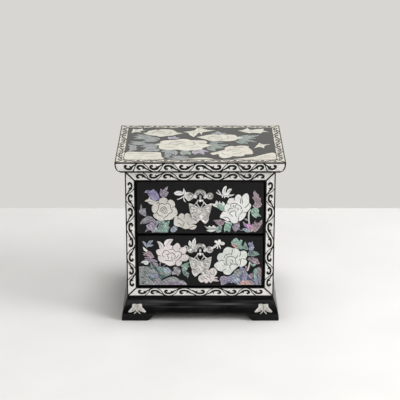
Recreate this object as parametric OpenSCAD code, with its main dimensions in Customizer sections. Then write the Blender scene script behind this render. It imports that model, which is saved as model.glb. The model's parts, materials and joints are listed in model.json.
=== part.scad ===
// Two-drawer jewellery chest in black lacquer with shell inlay.
// Origin on the table under the middle of the chest, +Z up, drawers open towards -Y.

/* [Carcass] */
// Width across the two side boards
body_w = 112; // [100:1:140]
// Depth from the front edge to the back
body_d = 80; // [70:1:110]
// Height between the plinth and the top slab
body_h = 101; // [94:1:130]
// Thickness of the four mitred boards
board_t = 7.5; // [6:0.5:9]
// Thickness of the back panel
back_t = 3; // [2:0.5:4]
// Width of the rebate that the back panel sits in
back_rebate = 3; // [2:0.5:4]
// Thickness of the shelf between the drawers
shelf_t = 3; // [2:0.5:4]
// Depth of the shelf's groove in each side board
shelf_groove = 2.5; // [1.5:0.5:4]

/* [Top slab] */
// Thickness of the slab
slab_t = 9.5; // [7.5:0.5:13]
// Overhang past the carcass on all four sides
slab_over = 7; // [5:0.5:10]
// How far the rounded edge runs in under the slab
slab_round = 5.5; // [3:0.5:6]
// Height of the upright band above the rounded edge
slab_band = 1.5; // [1:0.25:3]
// Share of the quarter round that the edge inlay covers, in degrees
slab_inlay_angle = 72; // [50:1:80]

/* [Plinth] */
// Height of the plinth with its feet
plinth_h = 18.5; // [14:0.5:24]
// Spread of the moulded face from its top to the floor
plinth_flare = 4.4; // [2:0.2:7]
// Thickness of the plinth boards under the carcass
plinth_wall = 6; // [4:0.5:7.5]
// Length of each bracket foot along the floor
foot_w = 19.5; // [14:0.5:26]
// Height of the apron above the floor
foot_h = 6.6; // [4.6:0.2:8]
// Length of the curve that runs from foot to apron
foot_run = 7.5; // [3:0.5:9]
// Width of the glue blocks behind the corners
block_w = 9; // [6:0.5:12]

/* [Shell inlay] */
// Thickness of the shell strips
shell_t = 0.3; // [0.2:0.05:0.5]
// Width of the black line left along each strip
shell_line = 0.4; // [0.2:0.1:0.8]
// Width of the border on the slab's top, edge to field
border_w = 7; // [5:0.5:10]

/* [Drawers] */
// Thickness of the drawer fronts
front_t = 7; // [5.5:0.5:9]
// Round-over on the edges of the fronts
front_round = 1.2; // [0.6:0.2:2]
// Distance of the fronts behind the carcass edge
front_recess = 0.5; // [0:0.1:1.5]
// Gap between a front and the carcass
reveal = 0.6; // [0.4:0.1:0.8]
// Height of the drawer boxes
box_h = 34; // [26:1:35]
// Thickness of the drawer sides
side_t = 4; // [3:0.5:5]
// Depth of the sides' rebate in the fronts
side_rebate = 3; // [2:0.5:4]
// Thickness of the drawer backs
rear_t = 4; // [3:0.5:5]
// Thickness of the drawer bottoms
bottom_t = 2.5; // [2:0.5:3.5]
// Height of the bottoms above the drawer's lower edge
bottom_lift = 2; // [1:0.5:3]
// Depth of the groove around the bottoms
bottom_groove = 1.5; // [1:0.5:2]
// Thickness of the velvet pad on the bottoms
lining_t = 1.5; // [1:0.5:3]
// Running gap at each side of a drawer box
side_gap = 0.8; // [0.8:0.1:1.5]
// Running gap under a drawer box
lift_gap = 0.3; // [0.2:0.1:0.5]

/* [Pulls] */
// Distance of the pull's pivot below the front's upper edge
pull_drop = 14.2; // [13:0.2:15.6]
// Thickness of the cloud plate
plate_t = 0.9; // [0.6:0.1:1.1]
// Outer radius of the arch on the plate
arch_r = 4.5; // [3.8:0.1:5]
// Width of the arch
arch_w = 1.9; // [1.4:0.1:2.2]
// Radius of the roundels beside the arch
roundel_r = 2.6; // [2:0.1:3]
// Spacing of the roundels, centre to centre
roundel_gap = 14.4; // [13.6:0.2:17]
// Radius of the nails through the roundels
nail_r = 0.45; // [0.3:0.05:0.6]
// Length of the nails in the wood
nail_depth = 4; // [3:0.5:5]
// Radius of the pivot bar of the butterfly
bar_r = 0.55; // [0.45:0.05:0.7]
// Running clearance of the bar in the eye
bar_fit = 0.1; // [0.05:0.01:0.1]
// Wall of the eye around the bar
eye_wall = 0.7; // [0.5:0.1:1]
// Width of the eye along the bar
eye_w = 1.5; // [1.2:0.1:2]
// Height of the post that carries the eye
post_h = 3.6; // [2.6:0.2:4]
// Span of the butterfly's upper wings
wing_span = 16.8; // [14:0.2:20]
// Length of the butterfly from its pivot to its tails
wing_drop = 18.6; // [16:0.2:21]
// Thickness of the wings
wing_t = 1.1; // [0.8:0.1:1.4]

/* [Hidden] */
$fn = 48;
eps = 0.01;
fit = 0.1;           // glue gap around fitted panels
air_gap = 0.3;      // air behind closed drawers, before the shelf and round the pads
curve_steps = 10;    // steps of a moulded curve
wing_steps = 8;      // steps of one stretch of a wing's edge
shank_r = 0.7;       // shank of the eye pin
shank_fit = 0.1;     // clearance of the shank in the drawer front
leg_t = 0.6;         // thickness of the spread legs of the eye pin
leg_len = 4;         // length of one spread leg
rod_r = 0.5;         // radius of the butterfly's antennae
knuckle_r = 0.75;    // radius of the bead at each bend of the antennae
knuckle_air = 0.15;  // play of the bar's beads beside the eye
thorax_r = 0.85;     // radius of the butterfly's body
pull_air = 0.5;      // air between the eye and the drawer front
post_d = 1.4;        // depth of the post in front of the drawer
post_slope = 0.5;    // slope at the top of the post

z_floor = plinth_h + board_t;
z_body_top = plinth_h + body_h;
z_top = z_body_top + slab_t;
inner_w = body_w - 2 * board_t;
inner_h = body_h - 2 * board_t;
bay_h = (inner_h - shelf_t) / 2;
y_front = -body_d / 2;
y_back = body_d / 2 - back_t;
slab_w = body_w + 2 * slab_over;
slab_d = body_d + 2 * slab_over;
plinth_w = body_w + 2 * plinth_flare;
plinth_d = body_d + 2 * plinth_flare;

front_w = inner_w - 2 * reveal;
front_h = (inner_h - 4 * reveal) / 2;
y_face = y_front + front_recess;
y_inside = y_face + front_t;
y_rear = y_back - air_gap;
box_w = inner_w - 2 * side_gap;
box_in_w = box_w - 2 * side_t;
y_shelf = y_inside + air_gap;

// Level 0 is the lower drawer and level 1 the upper one.
function front_z(level) = z_floor + reveal + level * (front_h + 2 * reveal);
function box_z(level) = z_floor + lift_gap + level * (bay_h + shelf_t);
function pull_z(level) = front_z(level) + front_h - pull_drop;

eye_bore = bar_r + bar_fit;
eye_r = eye_bore + eye_wall;
y_pull = y_face - pull_air - eye_r;

lacquer = "#141416";
shell = "#e6e2d8";
raw_board = "#2a2523";
velvet = "#5c1420";
silver = "#b9b6ae";

// Extrusions whose outline lies across the X or the Y axis
module along_x(length) rotate([90, 0, 90]) linear_extrude(length, center = true) children();
module along_y(length) rotate([90, 0, 0]) linear_extrude(length, center = true) children();

function mirrored(points) = [for (i = [len(points) - 1 : -1 : 0]) [-points[i][0], points[i][1]]];
function shifted(points, by) = [for (p = points) p + by];

// One side of a mitred rectangle, seen from above, for the side that faces -Y
module mitre_wedge(width, depth, band, z0, z1)
    translate([0, 0, z0])
        linear_extrude(z1 - z0)
            polygon([
                [-width / 2, -depth / 2], [width / 2, -depth / 2],
                [width / 2 - band, -depth / 2 + band], [-width / 2 + band, -depth / 2 + band]
            ]);

// A strip with mitred ends and a bare line round it; its outer edge runs along y = 0
function strip(length, band) =
    let (end = shell_line * (1 + sqrt(2) / 2))
    [
        [-length / 2 + end, -shell_line], [length / 2 - end, -shell_line],
        [length / 2 - band + end - shell_line * sqrt(2), -band + shell_line],
        [-length / 2 + band - end + shell_line * sqrt(2), -band + shell_line]
    ];

// Carcass: four boards mitred at the corners, rebated for the back and grooved for the shelf

function rail_outline() = [
    [-body_w / 2, 0], [body_w / 2, 0], [body_w / 2 - board_t, -board_t], [-body_w / 2 + board_t, -board_t]
];
function stile_outline() = [
    [-body_h / 2, 0], [body_h / 2, 0], [body_h / 2 - board_t, -board_t], [-body_h / 2 + board_t, -board_t]
];

module back_rebate_cut()
    translate([-inner_w / 2 - back_rebate, y_back, z_floor - back_rebate])
        cube([inner_w + 2 * back_rebate, back_t + 1, inner_h + 2 * back_rebate]);

module shelf_block(clearance)
    translate([-inner_w / 2 - shelf_groove + clearance, y_shelf, z_floor + bay_h])
        cube([inner_w + 2 * shelf_groove - 2 * clearance, y_back - y_shelf, shelf_t]);

// Places an outline with its outer edge along y = 0 on the named side of the carcass
module on_side(side) {
    if (side == "top") translate([0, 0, z_body_top]) children();
    if (side == "bottom") translate([0, 0, plinth_h]) rotate([0, 180, 0]) children();
    if (side == "left") translate([-body_w / 2, 0, plinth_h + body_h / 2]) rotate([0, -90, 0]) children();
    if (side == "right") translate([body_w / 2, 0, plinth_h + body_h / 2]) rotate([0, 90, 0]) children();
}

function is_rail(side) = side == "top" || side == "bottom";

module frame_strip(side)
    color(shell)
        on_side(side)
            translate([0, y_front + shell_t / 2, 0])
                along_y(shell_t)
                    polygon(strip(is_rail(side) ? body_w : body_h, board_t));

module carcass_board(side)
    color(lacquer)
        difference() {
            on_side(side) along_y(body_d) polygon(is_rail(side) ? rail_outline() : stile_outline());
            frame_strip(side);
            back_rebate_cut();
            if (!is_rail(side)) shelf_block(0);
        }

module back_panel()
    color(raw_board)
        translate([-inner_w / 2 - back_rebate + fit, y_back, z_floor - back_rebate + fit])
            cube([inner_w + 2 * (back_rebate - fit), back_t, inner_h + 2 * (back_rebate - fit)]);

module drawer_shelf() color(raw_board) shelf_block(fit);

// Top slab: a quarter round under an upright band, let in for the shell strips

slab_fall = slab_t - slab_band;
function slab_edge(turn, inset) = [
    slab_over - slab_round + (slab_round - inset) * cos(turn),
    slab_fall - (slab_fall - inset) * sin(turn)
];
function slab_curve(from, to, inset) =
    [for (i = [0 : curve_steps]) slab_edge(from + (to - from) * i / curve_steps, inset)];
function slab_outline() = concat(
    [[slab_over, slab_t], [slab_over, slab_t - shell_line], [slab_over - shell_t, slab_t - shell_line]],
    slab_curve(0, slab_inlay_angle, shell_t),
    [slab_edge(slab_inlay_angle, 0), slab_edge((slab_inlay_angle + 90) / 2, 0), slab_edge(90, 0)]
);
function edge_strip_outline() = concat(
    [[slab_over, slab_t - shell_line]],
    slab_curve(0, slab_inlay_angle, 0),
    slab_curve(slab_inlay_angle, 0, shell_t),
    [[slab_over - shell_t, slab_t - shell_line]]
);

module slab_section(half_size) {
    edge = shifted(slab_outline(), [half_size, z_body_top]);
    polygon(concat(edge, mirrored(edge)));
}

// The border strip that lies along the slab's -Y edge before it is turned to its side
module border_strip(length, depth)
    translate([0, -depth / 2, z_top - shell_t])
        linear_extrude(shell_t)
            polygon([for (p = strip(length, border_w)) [p[0], -p[1]]]);

// Turns a strip made for the -Y side of the slab to another side
module round_slab(side) {
    turn = side == "front" ? 0 : side == "right" ? 90 : side == "back" ? 180 : 270;
    rotate(turn) children();
}
function slab_length(side) = side == "front" || side == "back" ? slab_w : slab_d;
function slab_reach(side) = side == "front" || side == "back" ? slab_d : slab_w;

module border_inlay(side)
    color(shell) round_slab(side) border_strip(slab_length(side), slab_reach(side));

module edge_inlay(side) {
    length = slab_length(side);
    reach = slab_reach(side);
    color(shell)
        round_slab(side)
            intersection() {
                translate([0, -reach / 2 + slab_over, z_body_top])
                    along_x(length)
                        polygon([for (p = edge_strip_outline()) [-p[0], p[1]]]);
                mitre_wedge(length, reach, slab_over, z_body_top, z_top);
            }
}

module top_slab()
    color(lacquer)
        difference() {
            intersection() {
                along_x(slab_w) slab_section(body_d / 2);
                along_y(slab_d) slab_section(body_w / 2);
            }
            for (side = ["front", "right", "back", "left"]) border_inlay(side);
        }

// Plinth: four mitred mouldings with bracket feet and glue blocks behind the corners

flare_rise = 1.2; // how softly the moulding leaves the carcass
function plinth_face(t) = [plinth_flare * pow(sin(90 * t), flare_rise), plinth_h * (1 - t)];
function plinth_outline() = concat(
    [[-plinth_wall, plinth_h]],
    [for (i = [0 : curve_steps]) plinth_face(i / curve_steps)],
    [[-plinth_wall, 0]]
);

// The bracket curve from the end of a foot up to the apron
function bracket(half_gap) = [
    for (i = [0 : curve_steps])
        let (t = i / curve_steps)
        [half_gap - foot_run * t, foot_h * (1 - cos(180 * t)) / 2]
];

module apron_gap(length) {
    half_gap = length / 2 - foot_w;
    edge = concat([[half_gap, -1]], bracket(half_gap));
    polygon(concat(edge, mirrored(edge)));
}

module plinth_board(length, depth, body_depth)
    color(lacquer)
        difference() {
            intersection() {
                translate([0, -body_depth / 2, 0])
                    along_x(length)
                        polygon([for (p = plinth_outline()) [-p[0], p[1]]]);
                mitre_wedge(length, depth, plinth_flare + plinth_wall, 0, plinth_h);
            }
            translate([0, -body_depth / 2, 0])
                along_y(4 * (plinth_flare + plinth_wall)) apron_gap(length);
        }

module plinth_front() plinth_board(plinth_w, plinth_d, body_d);
module plinth_back() rotate(180) plinth_board(plinth_w, plinth_d, body_d);
module plinth_right() rotate(90) plinth_board(plinth_d, plinth_w, body_w);
module plinth_left() rotate(270) plinth_board(plinth_d, plinth_w, body_w);

module plinth_corner_blocks()
    color(raw_board)
        for (x = [-1, 1], y = [-1, 1])
            translate([
                x * (body_w / 2 - plinth_wall - block_w / 2), y * (body_d / 2 - plinth_wall - block_w / 2),
                (foot_h + plinth_h) / 2
            ])
                cube([block_w, block_w, plinth_h - foot_h], center = true);

// Drawers: a rounded front, rebated sides, a back and a grooved bottom

function rounded_edge(half_size) = [
    for (i = [0 : curve_steps / 2])
        let (turn = 180 * i / curve_steps)
        [half_size - front_round * (1 - cos(turn)), front_t - front_round * (1 - sin(turn))]
];

// Section of a drawer front, its face towards the outline's upper side
module front_section(size) {
    edge = concat([[size / 2, 0]], rounded_edge(size / 2));
    polygon(concat(edge, mirrored(edge)));
}

module front_blank(level)
    translate([0, y_inside, front_z(level) + front_h / 2])
        rotate([90, 0, 0])
            intersection() {
                along_y(front_h) front_section(front_w);
                along_x(front_w) front_section(front_h);
            }

module bottom_block(level, clearance)
    translate([
        -box_in_w / 2 - bottom_groove + clearance, y_inside - bottom_groove + clearance,
        box_z(level) + bottom_lift
    ])
        cube([box_in_w + 2 * (bottom_groove - clearance), y_rear - y_inside + bottom_groove - clearance, bottom_t]);

// Side board of a drawer; hand is -1 on the left and 1 on the right
module side_block(level, hand)
    translate([hand * (box_w - side_t) / 2, (y_inside - side_rebate + y_rear) / 2, box_z(level) + box_h / 2])
        cube([side_t, y_rear - y_inside + side_rebate, box_h], center = true);

// Room for a side board in the drawer front, open to the front's end
module side_notch(level, hand) {
    reach = (front_w - box_in_w) / 2;
    translate([hand * (box_in_w + reach) / 2, y_inside - side_rebate / 2, box_z(level) + box_h / 2])
        cube([reach + eps, side_rebate + eps, box_h + eps], center = true);
}

module drawer_front(level)
    color(lacquer)
        difference() {
            front_blank(level);
            side_notch(level, -1);
            side_notch(level, 1);
            bottom_block(level, 0);
            translate([0, y_inside, pull_z(level) + post_h / 2])
                rotate([90, 0, 0])
                    cylinder(h = front_t + 1, r = shank_r + shank_fit);
            at_nails(level)
                translate([0, 0, -nail_depth]) cylinder(h = nail_depth + 1, r = nail_r + fit / 2);
        }

module drawer_side(level, hand)
    color(raw_board)
        difference() {
            side_block(level, hand);
            bottom_block(level, 0);
        }

module drawer_back(level)
    color(raw_board)
        translate([-box_in_w / 2, y_rear - rear_t, box_z(level) + bottom_lift + bottom_t])
            cube([box_in_w, rear_t, box_h - bottom_lift - bottom_t]);

module drawer_bottom(level) color(raw_board) bottom_block(level, fit);

// Velvet pad: a low crown that falls to its edges
module drawer_lining(level) {
    pad_w = box_in_w - 2 * air_gap;
    pad_d = y_rear - rear_t - y_inside - 2 * (air_gap + leg_t);
    edge = 2 * lining_t;
    color(velvet)
        translate([0, (y_inside + y_rear - rear_t) / 2, box_z(level) + bottom_lift + bottom_t])
            intersection() {
                along_y(pad_d) pad_section(pad_w, edge);
                along_x(pad_w) pad_section(pad_d, edge);
            }
}

module pad_section(size, edge) {
    side = [
        for (i = [0 : curve_steps / 2])
            let (turn = 180 * i / curve_steps)
            [size / 2 - edge * (1 - cos(turn)), lining_t * (1 + sin(turn)) / 2]
    ];
    points = concat([[size / 2, 0]], side);
    polygon(concat(points, mirrored(points)));
}

// Pulls: a cloud plate nailed to the front, an eye pin through it and a hanging butterfly

arch_z = 3.6;    // centre of the arch above the pivot
roundel_z = 3;   // centre of the roundels above the pivot
volute_r = 1.25; // radius of the curls at the feet of the arch
bridge_h = 1.6;  // height of the bridges between arch and roundels
rim_w = 0.8;     // width of the raised rim of a roundel
relief = 0.6;    // height of the arch and rims above the plate
edge_step = 0.2; // flat left beside the arch and rims
edge_slope = 0.35; // slope of their edges

// Puts an outline drawn from the front, around the pivot, on the drawer's face
module on_face(level) translate([0, y_face, pull_z(level)]) rotate([90, 0, 0]) children();

module at_nails(level)
    on_face(level)
        for (x = [-1, 1])
            translate([x * roundel_gap / 2, roundel_z, 0]) children();

module cloud_outline() {
    foot_x = arch_r - arch_w / 2;
    bridge_len = roundel_gap / 2 - foot_x;
    difference() {
        translate([0, arch_z]) circle(arch_r);
        translate([0, arch_z]) circle(arch_r - arch_w);
        translate([-arch_r - 1, arch_z - arch_r - 1]) square([2 * arch_r + 2, arch_r + 1]);
    }
    for (x = [-1, 1]) {
        translate([x * foot_x, roundel_z - volute_r / 2]) circle(volute_r);
        translate([x * (foot_x + bridge_len / 2), roundel_z]) square([bridge_len, bridge_h], center = true);
        translate([x * roundel_gap / 2, roundel_z]) circle(roundel_r);
    }
}

module pull_plate(level)
    color(silver)
        difference() {
            union() {
                on_face(level) linear_extrude(plate_t) cloud_outline();
                on_face(level)
                    translate([0, arch_z, plate_t - eps])
                        rotate_extrude(angle = 180)
                            polygon([
                                [arch_r - arch_w + edge_step, 0], [arch_r - edge_step, 0],
                                [arch_r - edge_step - edge_slope, relief],
                                [arch_r - arch_w + edge_step + edge_slope, relief]
                            ]);
                at_nails(level)
                    translate([0, 0, plate_t - eps])
                        difference() {
                            cylinder(
                                h = relief, r1 = roundel_r - edge_step, r2 = roundel_r - edge_step - edge_slope
                            );
                            translate([0, 0, -1]) cylinder(h = relief + 2, r = roundel_r - rim_w);
                        }
            }
            at_nails(level) translate([0, 0, -1]) cylinder(h = plate_t + 2, r = nail_r + fit / 2);
        }

module pull_nails(level)
    color(silver)
        at_nails(level)
            translate([0, 0, -nail_depth])
                rotate_extrude()
                    polygon([
                        [0, 0], [nail_r, nail_r], [nail_r, nail_depth + plate_t],
                        [2.4 * nail_r, nail_depth + plate_t], [2.2 * nail_r, nail_depth + plate_t + nail_r],
                        [nail_r, nail_depth + plate_t + 1.4 * nail_r], [0, nail_depth + plate_t + 1.5 * nail_r]
                    ]);

module pull_eye_pin(level)
    color(silver)
        translate([0, 0, pull_z(level)])
            difference() {
                union() {
                    translate([-eye_w / 2, y_pull, 0]) rotate([0, 90, 0]) cylinder(h = eye_w, r = eye_r);
                    translate([0, y_face, 0])
                        along_x(eye_w)
                            polygon([
                                [0, 0], [0, post_h], [post_slope - post_d, post_h],
                                [-post_d, post_h - post_slope], [-post_d, 0]
                            ]);
                    translate([0, y_inside + leg_t, post_h / 2])
                        rotate([90, 0, 0]) cylinder(h = front_t + leg_t + post_d / 2, r = shank_r);
                    translate([-leg_len, y_inside, post_h / 2 - shank_r])
                        cube([2 * leg_len, leg_t, 2 * shank_r]);
                }
                translate([-eye_w, y_pull, 0]) rotate([0, 90, 0]) cylinder(h = 2 * eye_w, r = eye_bore);
            }

// Cubic curve through four control points
function curve(a, b, c, d) = [
    for (i = [0 : wing_steps])
        let (t = i / wing_steps, s = 1 - t)
        s * s * s * a + 3 * s * s * t * b + 3 * s * t * t * c + t * t * t * d
];

// Right-hand wings: upper wing, notch, tail and back to the body, in shares of span and drop
function wing_outline() =
    let (
        w = wing_span / 2, d = wing_drop,
        root = [0.04 * w, -0.385 * d], tip = [w, -0.12 * d], notch = [0.7 * w, -0.72 * d],
        tail = [0.46 * w, -d], heel = [0.04 * w, -0.83 * d]
    )
    concat(
        curve(root, [0.2 * w, -0.29 * d], [0.55 * w, -0.15 * d], tip),
        curve(tip, [1.03 * w, -0.2 * d], [0.92 * w, -0.55 * d], notch),
        curve(notch, [0.86 * w, -0.78 * d], [0.62 * w, -0.95 * d], tail),
        curve(tail, [0.32 * w, -0.97 * d], [0.15 * w, -0.88 * d], heel)
    );

module rod(from, to, radius) {
    along = to - from;
    length = norm(along);
    translate(from)
        rotate([0, acos(along[2] / length), atan2(along[1], along[0])])
            cylinder(h = length, r = radius);
}

module pull_butterfly(level) {
    bar_end = eye_w / 2 + knuckle_r + knuckle_air;
    bend = [0.33 * wing_span / 2, 0, -0.1 * wing_drop];
    shoulder = [0.58 * wing_span / 2, 0, -0.215 * wing_drop];
    head = [0, 0, -0.36 * wing_drop];
    color(silver)
        translate([0, y_pull, pull_z(level)]) {
            translate([-bar_end, 0, 0]) rotate([0, 90, 0]) cylinder(h = 2 * bar_end, r = bar_r);
            for (x = [-1, 1]) {
                side_bend = [x * bend[0], 0, bend[2]];
                translate([x * bar_end, 0, 0]) sphere(knuckle_r);
                translate(side_bend) sphere(knuckle_r);
                rod([x * bar_end, 0, 0], side_bend, rod_r);
                rod(side_bend, head, rod_r);
                rod(side_bend, [x * shoulder[0], 0, shoulder[2]], rod_r);
            }
            along_y(wing_t) polygon(concat(wing_outline(), mirrored(wing_outline())));
            translate([0, 0, -0.8 * wing_drop])
                rotate_extrude()
                    polygon([
                        [0, 0], [0.6 * thorax_r, 0.1 * wing_drop], [thorax_r, 0.26 * wing_drop],
                        [0.8 * thorax_r, 0.34 * wing_drop], [1.1 * thorax_r, 0.37 * wing_drop],
                        [0.9 * thorax_r, 0.41 * wing_drop], [0, 0.43 * wing_drop]
                    ]);
        }
}

top_slab();
carcass_board("left");  // left_board
carcass_board("right");  // right_board
carcass_board("top");  // upper_board
carcass_board("bottom");  // lower_board
back_panel();
drawer_shelf();
plinth_front();
plinth_back();
plinth_left();
plinth_right();
plinth_corner_blocks();
frame_strip("top");  // frame_inlay_top
frame_strip("bottom");  // frame_inlay_bottom
frame_strip("left");  // frame_inlay_left
frame_strip("right");  // frame_inlay_right
edge_inlay("front");  // edge_inlay_front
edge_inlay("back");  // edge_inlay_back
edge_inlay("left");  // edge_inlay_left
edge_inlay("right");  // edge_inlay_right
border_inlay("front");  // border_inlay_front
border_inlay("back");  // border_inlay_back
border_inlay("left");  // border_inlay_left
border_inlay("right");  // border_inlay_right
drawer_front(1);  // upper_drawer_front
drawer_side(1, -1);  // upper_drawer_left_side
drawer_side(1, 1);  // upper_drawer_right_side
drawer_back(1);  // upper_drawer_back
drawer_bottom(1);  // upper_drawer_bottom
drawer_lining(1);  // upper_drawer_lining
pull_plate(1);  // upper_pull_plate
pull_nails(1);  // upper_pull_nails
pull_eye_pin(1);  // upper_pull_eye_pin
pull_butterfly(1);  // upper_pull_butterfly
drawer_front(0);  // lower_drawer_front
drawer_side(0, -1);  // lower_drawer_left_side
drawer_side(0, 1);  // lower_drawer_right_side
drawer_back(0);  // lower_drawer_back
drawer_bottom(0);  // lower_drawer_bottom
drawer_lining(0);  // lower_drawer_lining
pull_plate(0);  // lower_pull_plate
pull_nails(0);  // lower_pull_nails
pull_eye_pin(0);  // lower_pull_eye_pin
pull_butterfly(0);  // lower_pull_butterfly
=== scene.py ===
# %% [markdown]
# # A two-drawer jewellery chest in black lacquer and shell
# The real chest is a small wooden box, lacquered black and polished. Thin pieces of shell are glued to the
# wood before the last coats, and the lacquer is rubbed back until they show. The CAD frame gives every
# board, drawer and pull at its true size. This lesson dresses that frame: it softens the boards, draws the
# scroll borders, saws the shell pictures, chases the silver pulls and lays the velvet pads.

# %% Start from the CAD frame
import json
import math
import bpy
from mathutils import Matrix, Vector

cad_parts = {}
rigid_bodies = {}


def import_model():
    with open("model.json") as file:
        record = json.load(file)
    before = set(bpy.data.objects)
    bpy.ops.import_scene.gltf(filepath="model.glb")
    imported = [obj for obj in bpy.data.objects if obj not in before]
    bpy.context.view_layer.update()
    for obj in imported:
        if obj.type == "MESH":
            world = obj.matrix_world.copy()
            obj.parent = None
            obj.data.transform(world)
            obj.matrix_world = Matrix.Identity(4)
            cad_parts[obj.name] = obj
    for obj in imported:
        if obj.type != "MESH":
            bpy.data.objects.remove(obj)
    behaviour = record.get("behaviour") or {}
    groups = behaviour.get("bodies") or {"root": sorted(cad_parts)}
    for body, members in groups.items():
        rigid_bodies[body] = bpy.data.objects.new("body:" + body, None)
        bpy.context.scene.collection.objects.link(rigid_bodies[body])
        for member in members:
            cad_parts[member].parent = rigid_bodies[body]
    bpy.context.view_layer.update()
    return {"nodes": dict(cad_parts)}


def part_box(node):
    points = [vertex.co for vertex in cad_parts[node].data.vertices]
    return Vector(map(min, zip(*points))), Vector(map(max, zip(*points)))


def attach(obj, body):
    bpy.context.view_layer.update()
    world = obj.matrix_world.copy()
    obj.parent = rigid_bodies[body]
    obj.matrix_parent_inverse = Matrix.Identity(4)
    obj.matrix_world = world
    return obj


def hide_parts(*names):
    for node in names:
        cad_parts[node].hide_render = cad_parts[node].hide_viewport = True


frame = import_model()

nodes = frame["nodes"]

# %% [markdown]
# ## Working habits
# An operator acts on everything that is selected, so each step first selects only its own piece. Lengths
# are written in millimetres, as a maker reads them off a rule, and turned to metres in one place. A
# finished piece keeps its place in its mesh, so that patterns in its material stay put.

# %% Sizes, selection and settling
def mm(size):
    return size / 1000


def only(piece):
    """Leaves one object selected and active"""
    bpy.ops.object.select_all(action="DESELECT")
    piece.select_set(True)
    bpy.context.view_layer.objects.active = piece


def settle(piece, place=(0, 0, 0), turn=(0, 0, 0)):
    """Turns a piece (degrees), moves it (millimetres) and puts both into its mesh"""
    only(piece)
    piece.rotation_euler = [math.radians(angle) for angle in turn]
    piece.location = [mm(part) for part in place]
    bpy.ops.object.transform_apply(location=True, rotation=True, scale=True)


def twin(piece, name):
    """A copy of a piece with a mesh of its own"""
    only(piece)
    bpy.ops.object.duplicate()
    copy = bpy.context.object
    copy.name = name
    return copy


weld = 1e-7


def join(name, pieces):
    """Makes one object of several and closes the seams between their faces"""
    bpy.ops.object.select_all(action="DESELECT")
    for piece in pieces:
        piece.select_set(True)
    bpy.context.view_layer.objects.active = pieces[0]
    if len(pieces) > 1:
        bpy.ops.object.join()
    whole = bpy.context.object
    whole.name = name
    bpy.ops.object.mode_set(mode="EDIT")
    bpy.ops.mesh.select_all(action="SELECT")
    bpy.ops.mesh.remove_doubles(threshold=weld)
    bpy.ops.object.mode_set(mode="OBJECT")
    return whole


def paint(piece, finish):
    """Leaves one finish on a piece"""
    piece.data.materials.clear()
    piece.data.materials.append(finish)


def give(piece, finish, body):
    """Puts a finish on a piece and lets it ride on its body"""
    paint(piece, finish)
    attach(piece, body)


print("One millimetre is", mm(1), "m")

# %% [markdown]
# ## Colours and nodes
# Colours are picked from the object as sRGB hex values, while shaders work in linear light, so one function
# turns them. Another small function adds a node with its settings and links. Each material below is then a
# short list of nodes that reads from the pattern to the shader.

# %% One function for colour, one for nodes
def linear(hex_colour):
    """Turns an sRGB hex colour into linear RGBA"""
    parts = [int(hex_colour[i:i + 2], 16) / 255 for i in (1, 3, 5)]
    return [p / 12.92 if p <= 0.04045 else ((p + 0.055) / 1.055) ** 2.4 for p in parts] + [1]


def add(material, kind, inputs=None, stops=None, **settings):
    """Adds a node; an input that is a socket is linked, and stops fill a colour ramp"""
    node = material.node_tree.nodes.new("ShaderNode" + kind)
    for key, value in settings.items():
        setattr(node, key, value)
    if stops:
        ramp = node.color_ramp.elements
        while len(ramp) < len(stops):
            ramp.new(0.5)
        for element, (position, hex_colour) in zip(ramp, stops):
            element.position = position
            element.color = linear(hex_colour)
    for key, value in (inputs or {}).items():
        if isinstance(value, bpy.types.NodeSocket):
            material.node_tree.links.new(value, node.inputs[key])
        else:
            node.inputs[key].default_value = value
    return node


def new_finish(name, **sockets):
    """A material with its surface shader, whose even values sit on the shader's own sockets"""
    material = bpy.data.materials.new(name)
    material.use_nodes = True
    shader = material.node_tree.nodes["Principled BSDF"]
    for key, value in sockets.items():
        shader.inputs[key.replace("_", " ")].default_value = value
    return material, shader


def wire(material, source, shader, socket):
    material.node_tree.links.new(source, shader.inputs[socket])


print("Mid grey in linear light:", round(linear("#808080")[0], 3))

# %% [markdown]
# ## Black lacquer
# The wood is coated many times with black lacquer and polished, so the colour is nearly nothing and the
# gloss is everything. The eye gets soft reflections that waver a little, because hand polishing leaves
# faint ripples and a few duller patches. Both come from noise in real millimetres. The mouldings of the
# plinth are rubbed by hand along their length, so they are less bright and ripple more.

# %% Polished black lacquer
def lacquer_finish(name, gloss, unevenness, stretch):
    """Deep black under a clear polish; its ripples are drawn out along X where stretch is below one"""
    material, shader = new_finish(name, Specular_IOR_Level=gloss)
    spot = add(material, "TexCoord").outputs["Object"]
    patches = add(material, "TexNoise", {"Vector": spot, "Scale": 1 / mm(14), "Detail": 3.0})
    depth = add(material, "ValToRGB", {"Fac": patches.outputs["Fac"]},
                stops=[(0.3, "#060607"), (0.7, "#0d0d0f")])
    dull = add(material, "MapRange", {"Value": patches.outputs["Fac"], "From Min": 0.3, "From Max": 0.7,
                                      "To Min": 0.1, "To Max": 0.2})
    along = add(material, "Mapping", {"Vector": spot, "Scale": (stretch, 1.0, 1.0)})
    ripple = add(material, "TexNoise", {"Vector": along.outputs["Vector"], "Scale": 1 / mm(5),
                                        "Detail": 1.0})
    wave = add(material, "Bump", {"Height": ripple.outputs["Fac"], "Strength": unevenness,
                                  "Distance": mm(0.3)})
    wire(material, depth.outputs["Color"], shader, "Base Color")
    wire(material, dull.outputs["Result"], shader, "Roughness")
    wire(material, wave.outputs["Normal"], shader, "Normal")
    return material


lacquer = lacquer_finish("polished_black_lacquer", gloss=0.2, unevenness=0.05, stretch=1.0)
moulding_lacquer = lacquer_finish("rubbed_black_lacquer", gloss=0.18, unevenness=0.5, stretch=0.12)
print("Finishes:", lacquer.name, moulding_lacquer.name)

# %% [markdown]
# ## Black-stained board
# The drawer boxes, the shelf and the back are plain boards rubbed with black stain. Stain sinks into the
# open grain, so the board shows fine dark lines along its length and almost no gloss. The grain is
# stretched noise: lines about a millimetre apart and many times longer.

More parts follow.
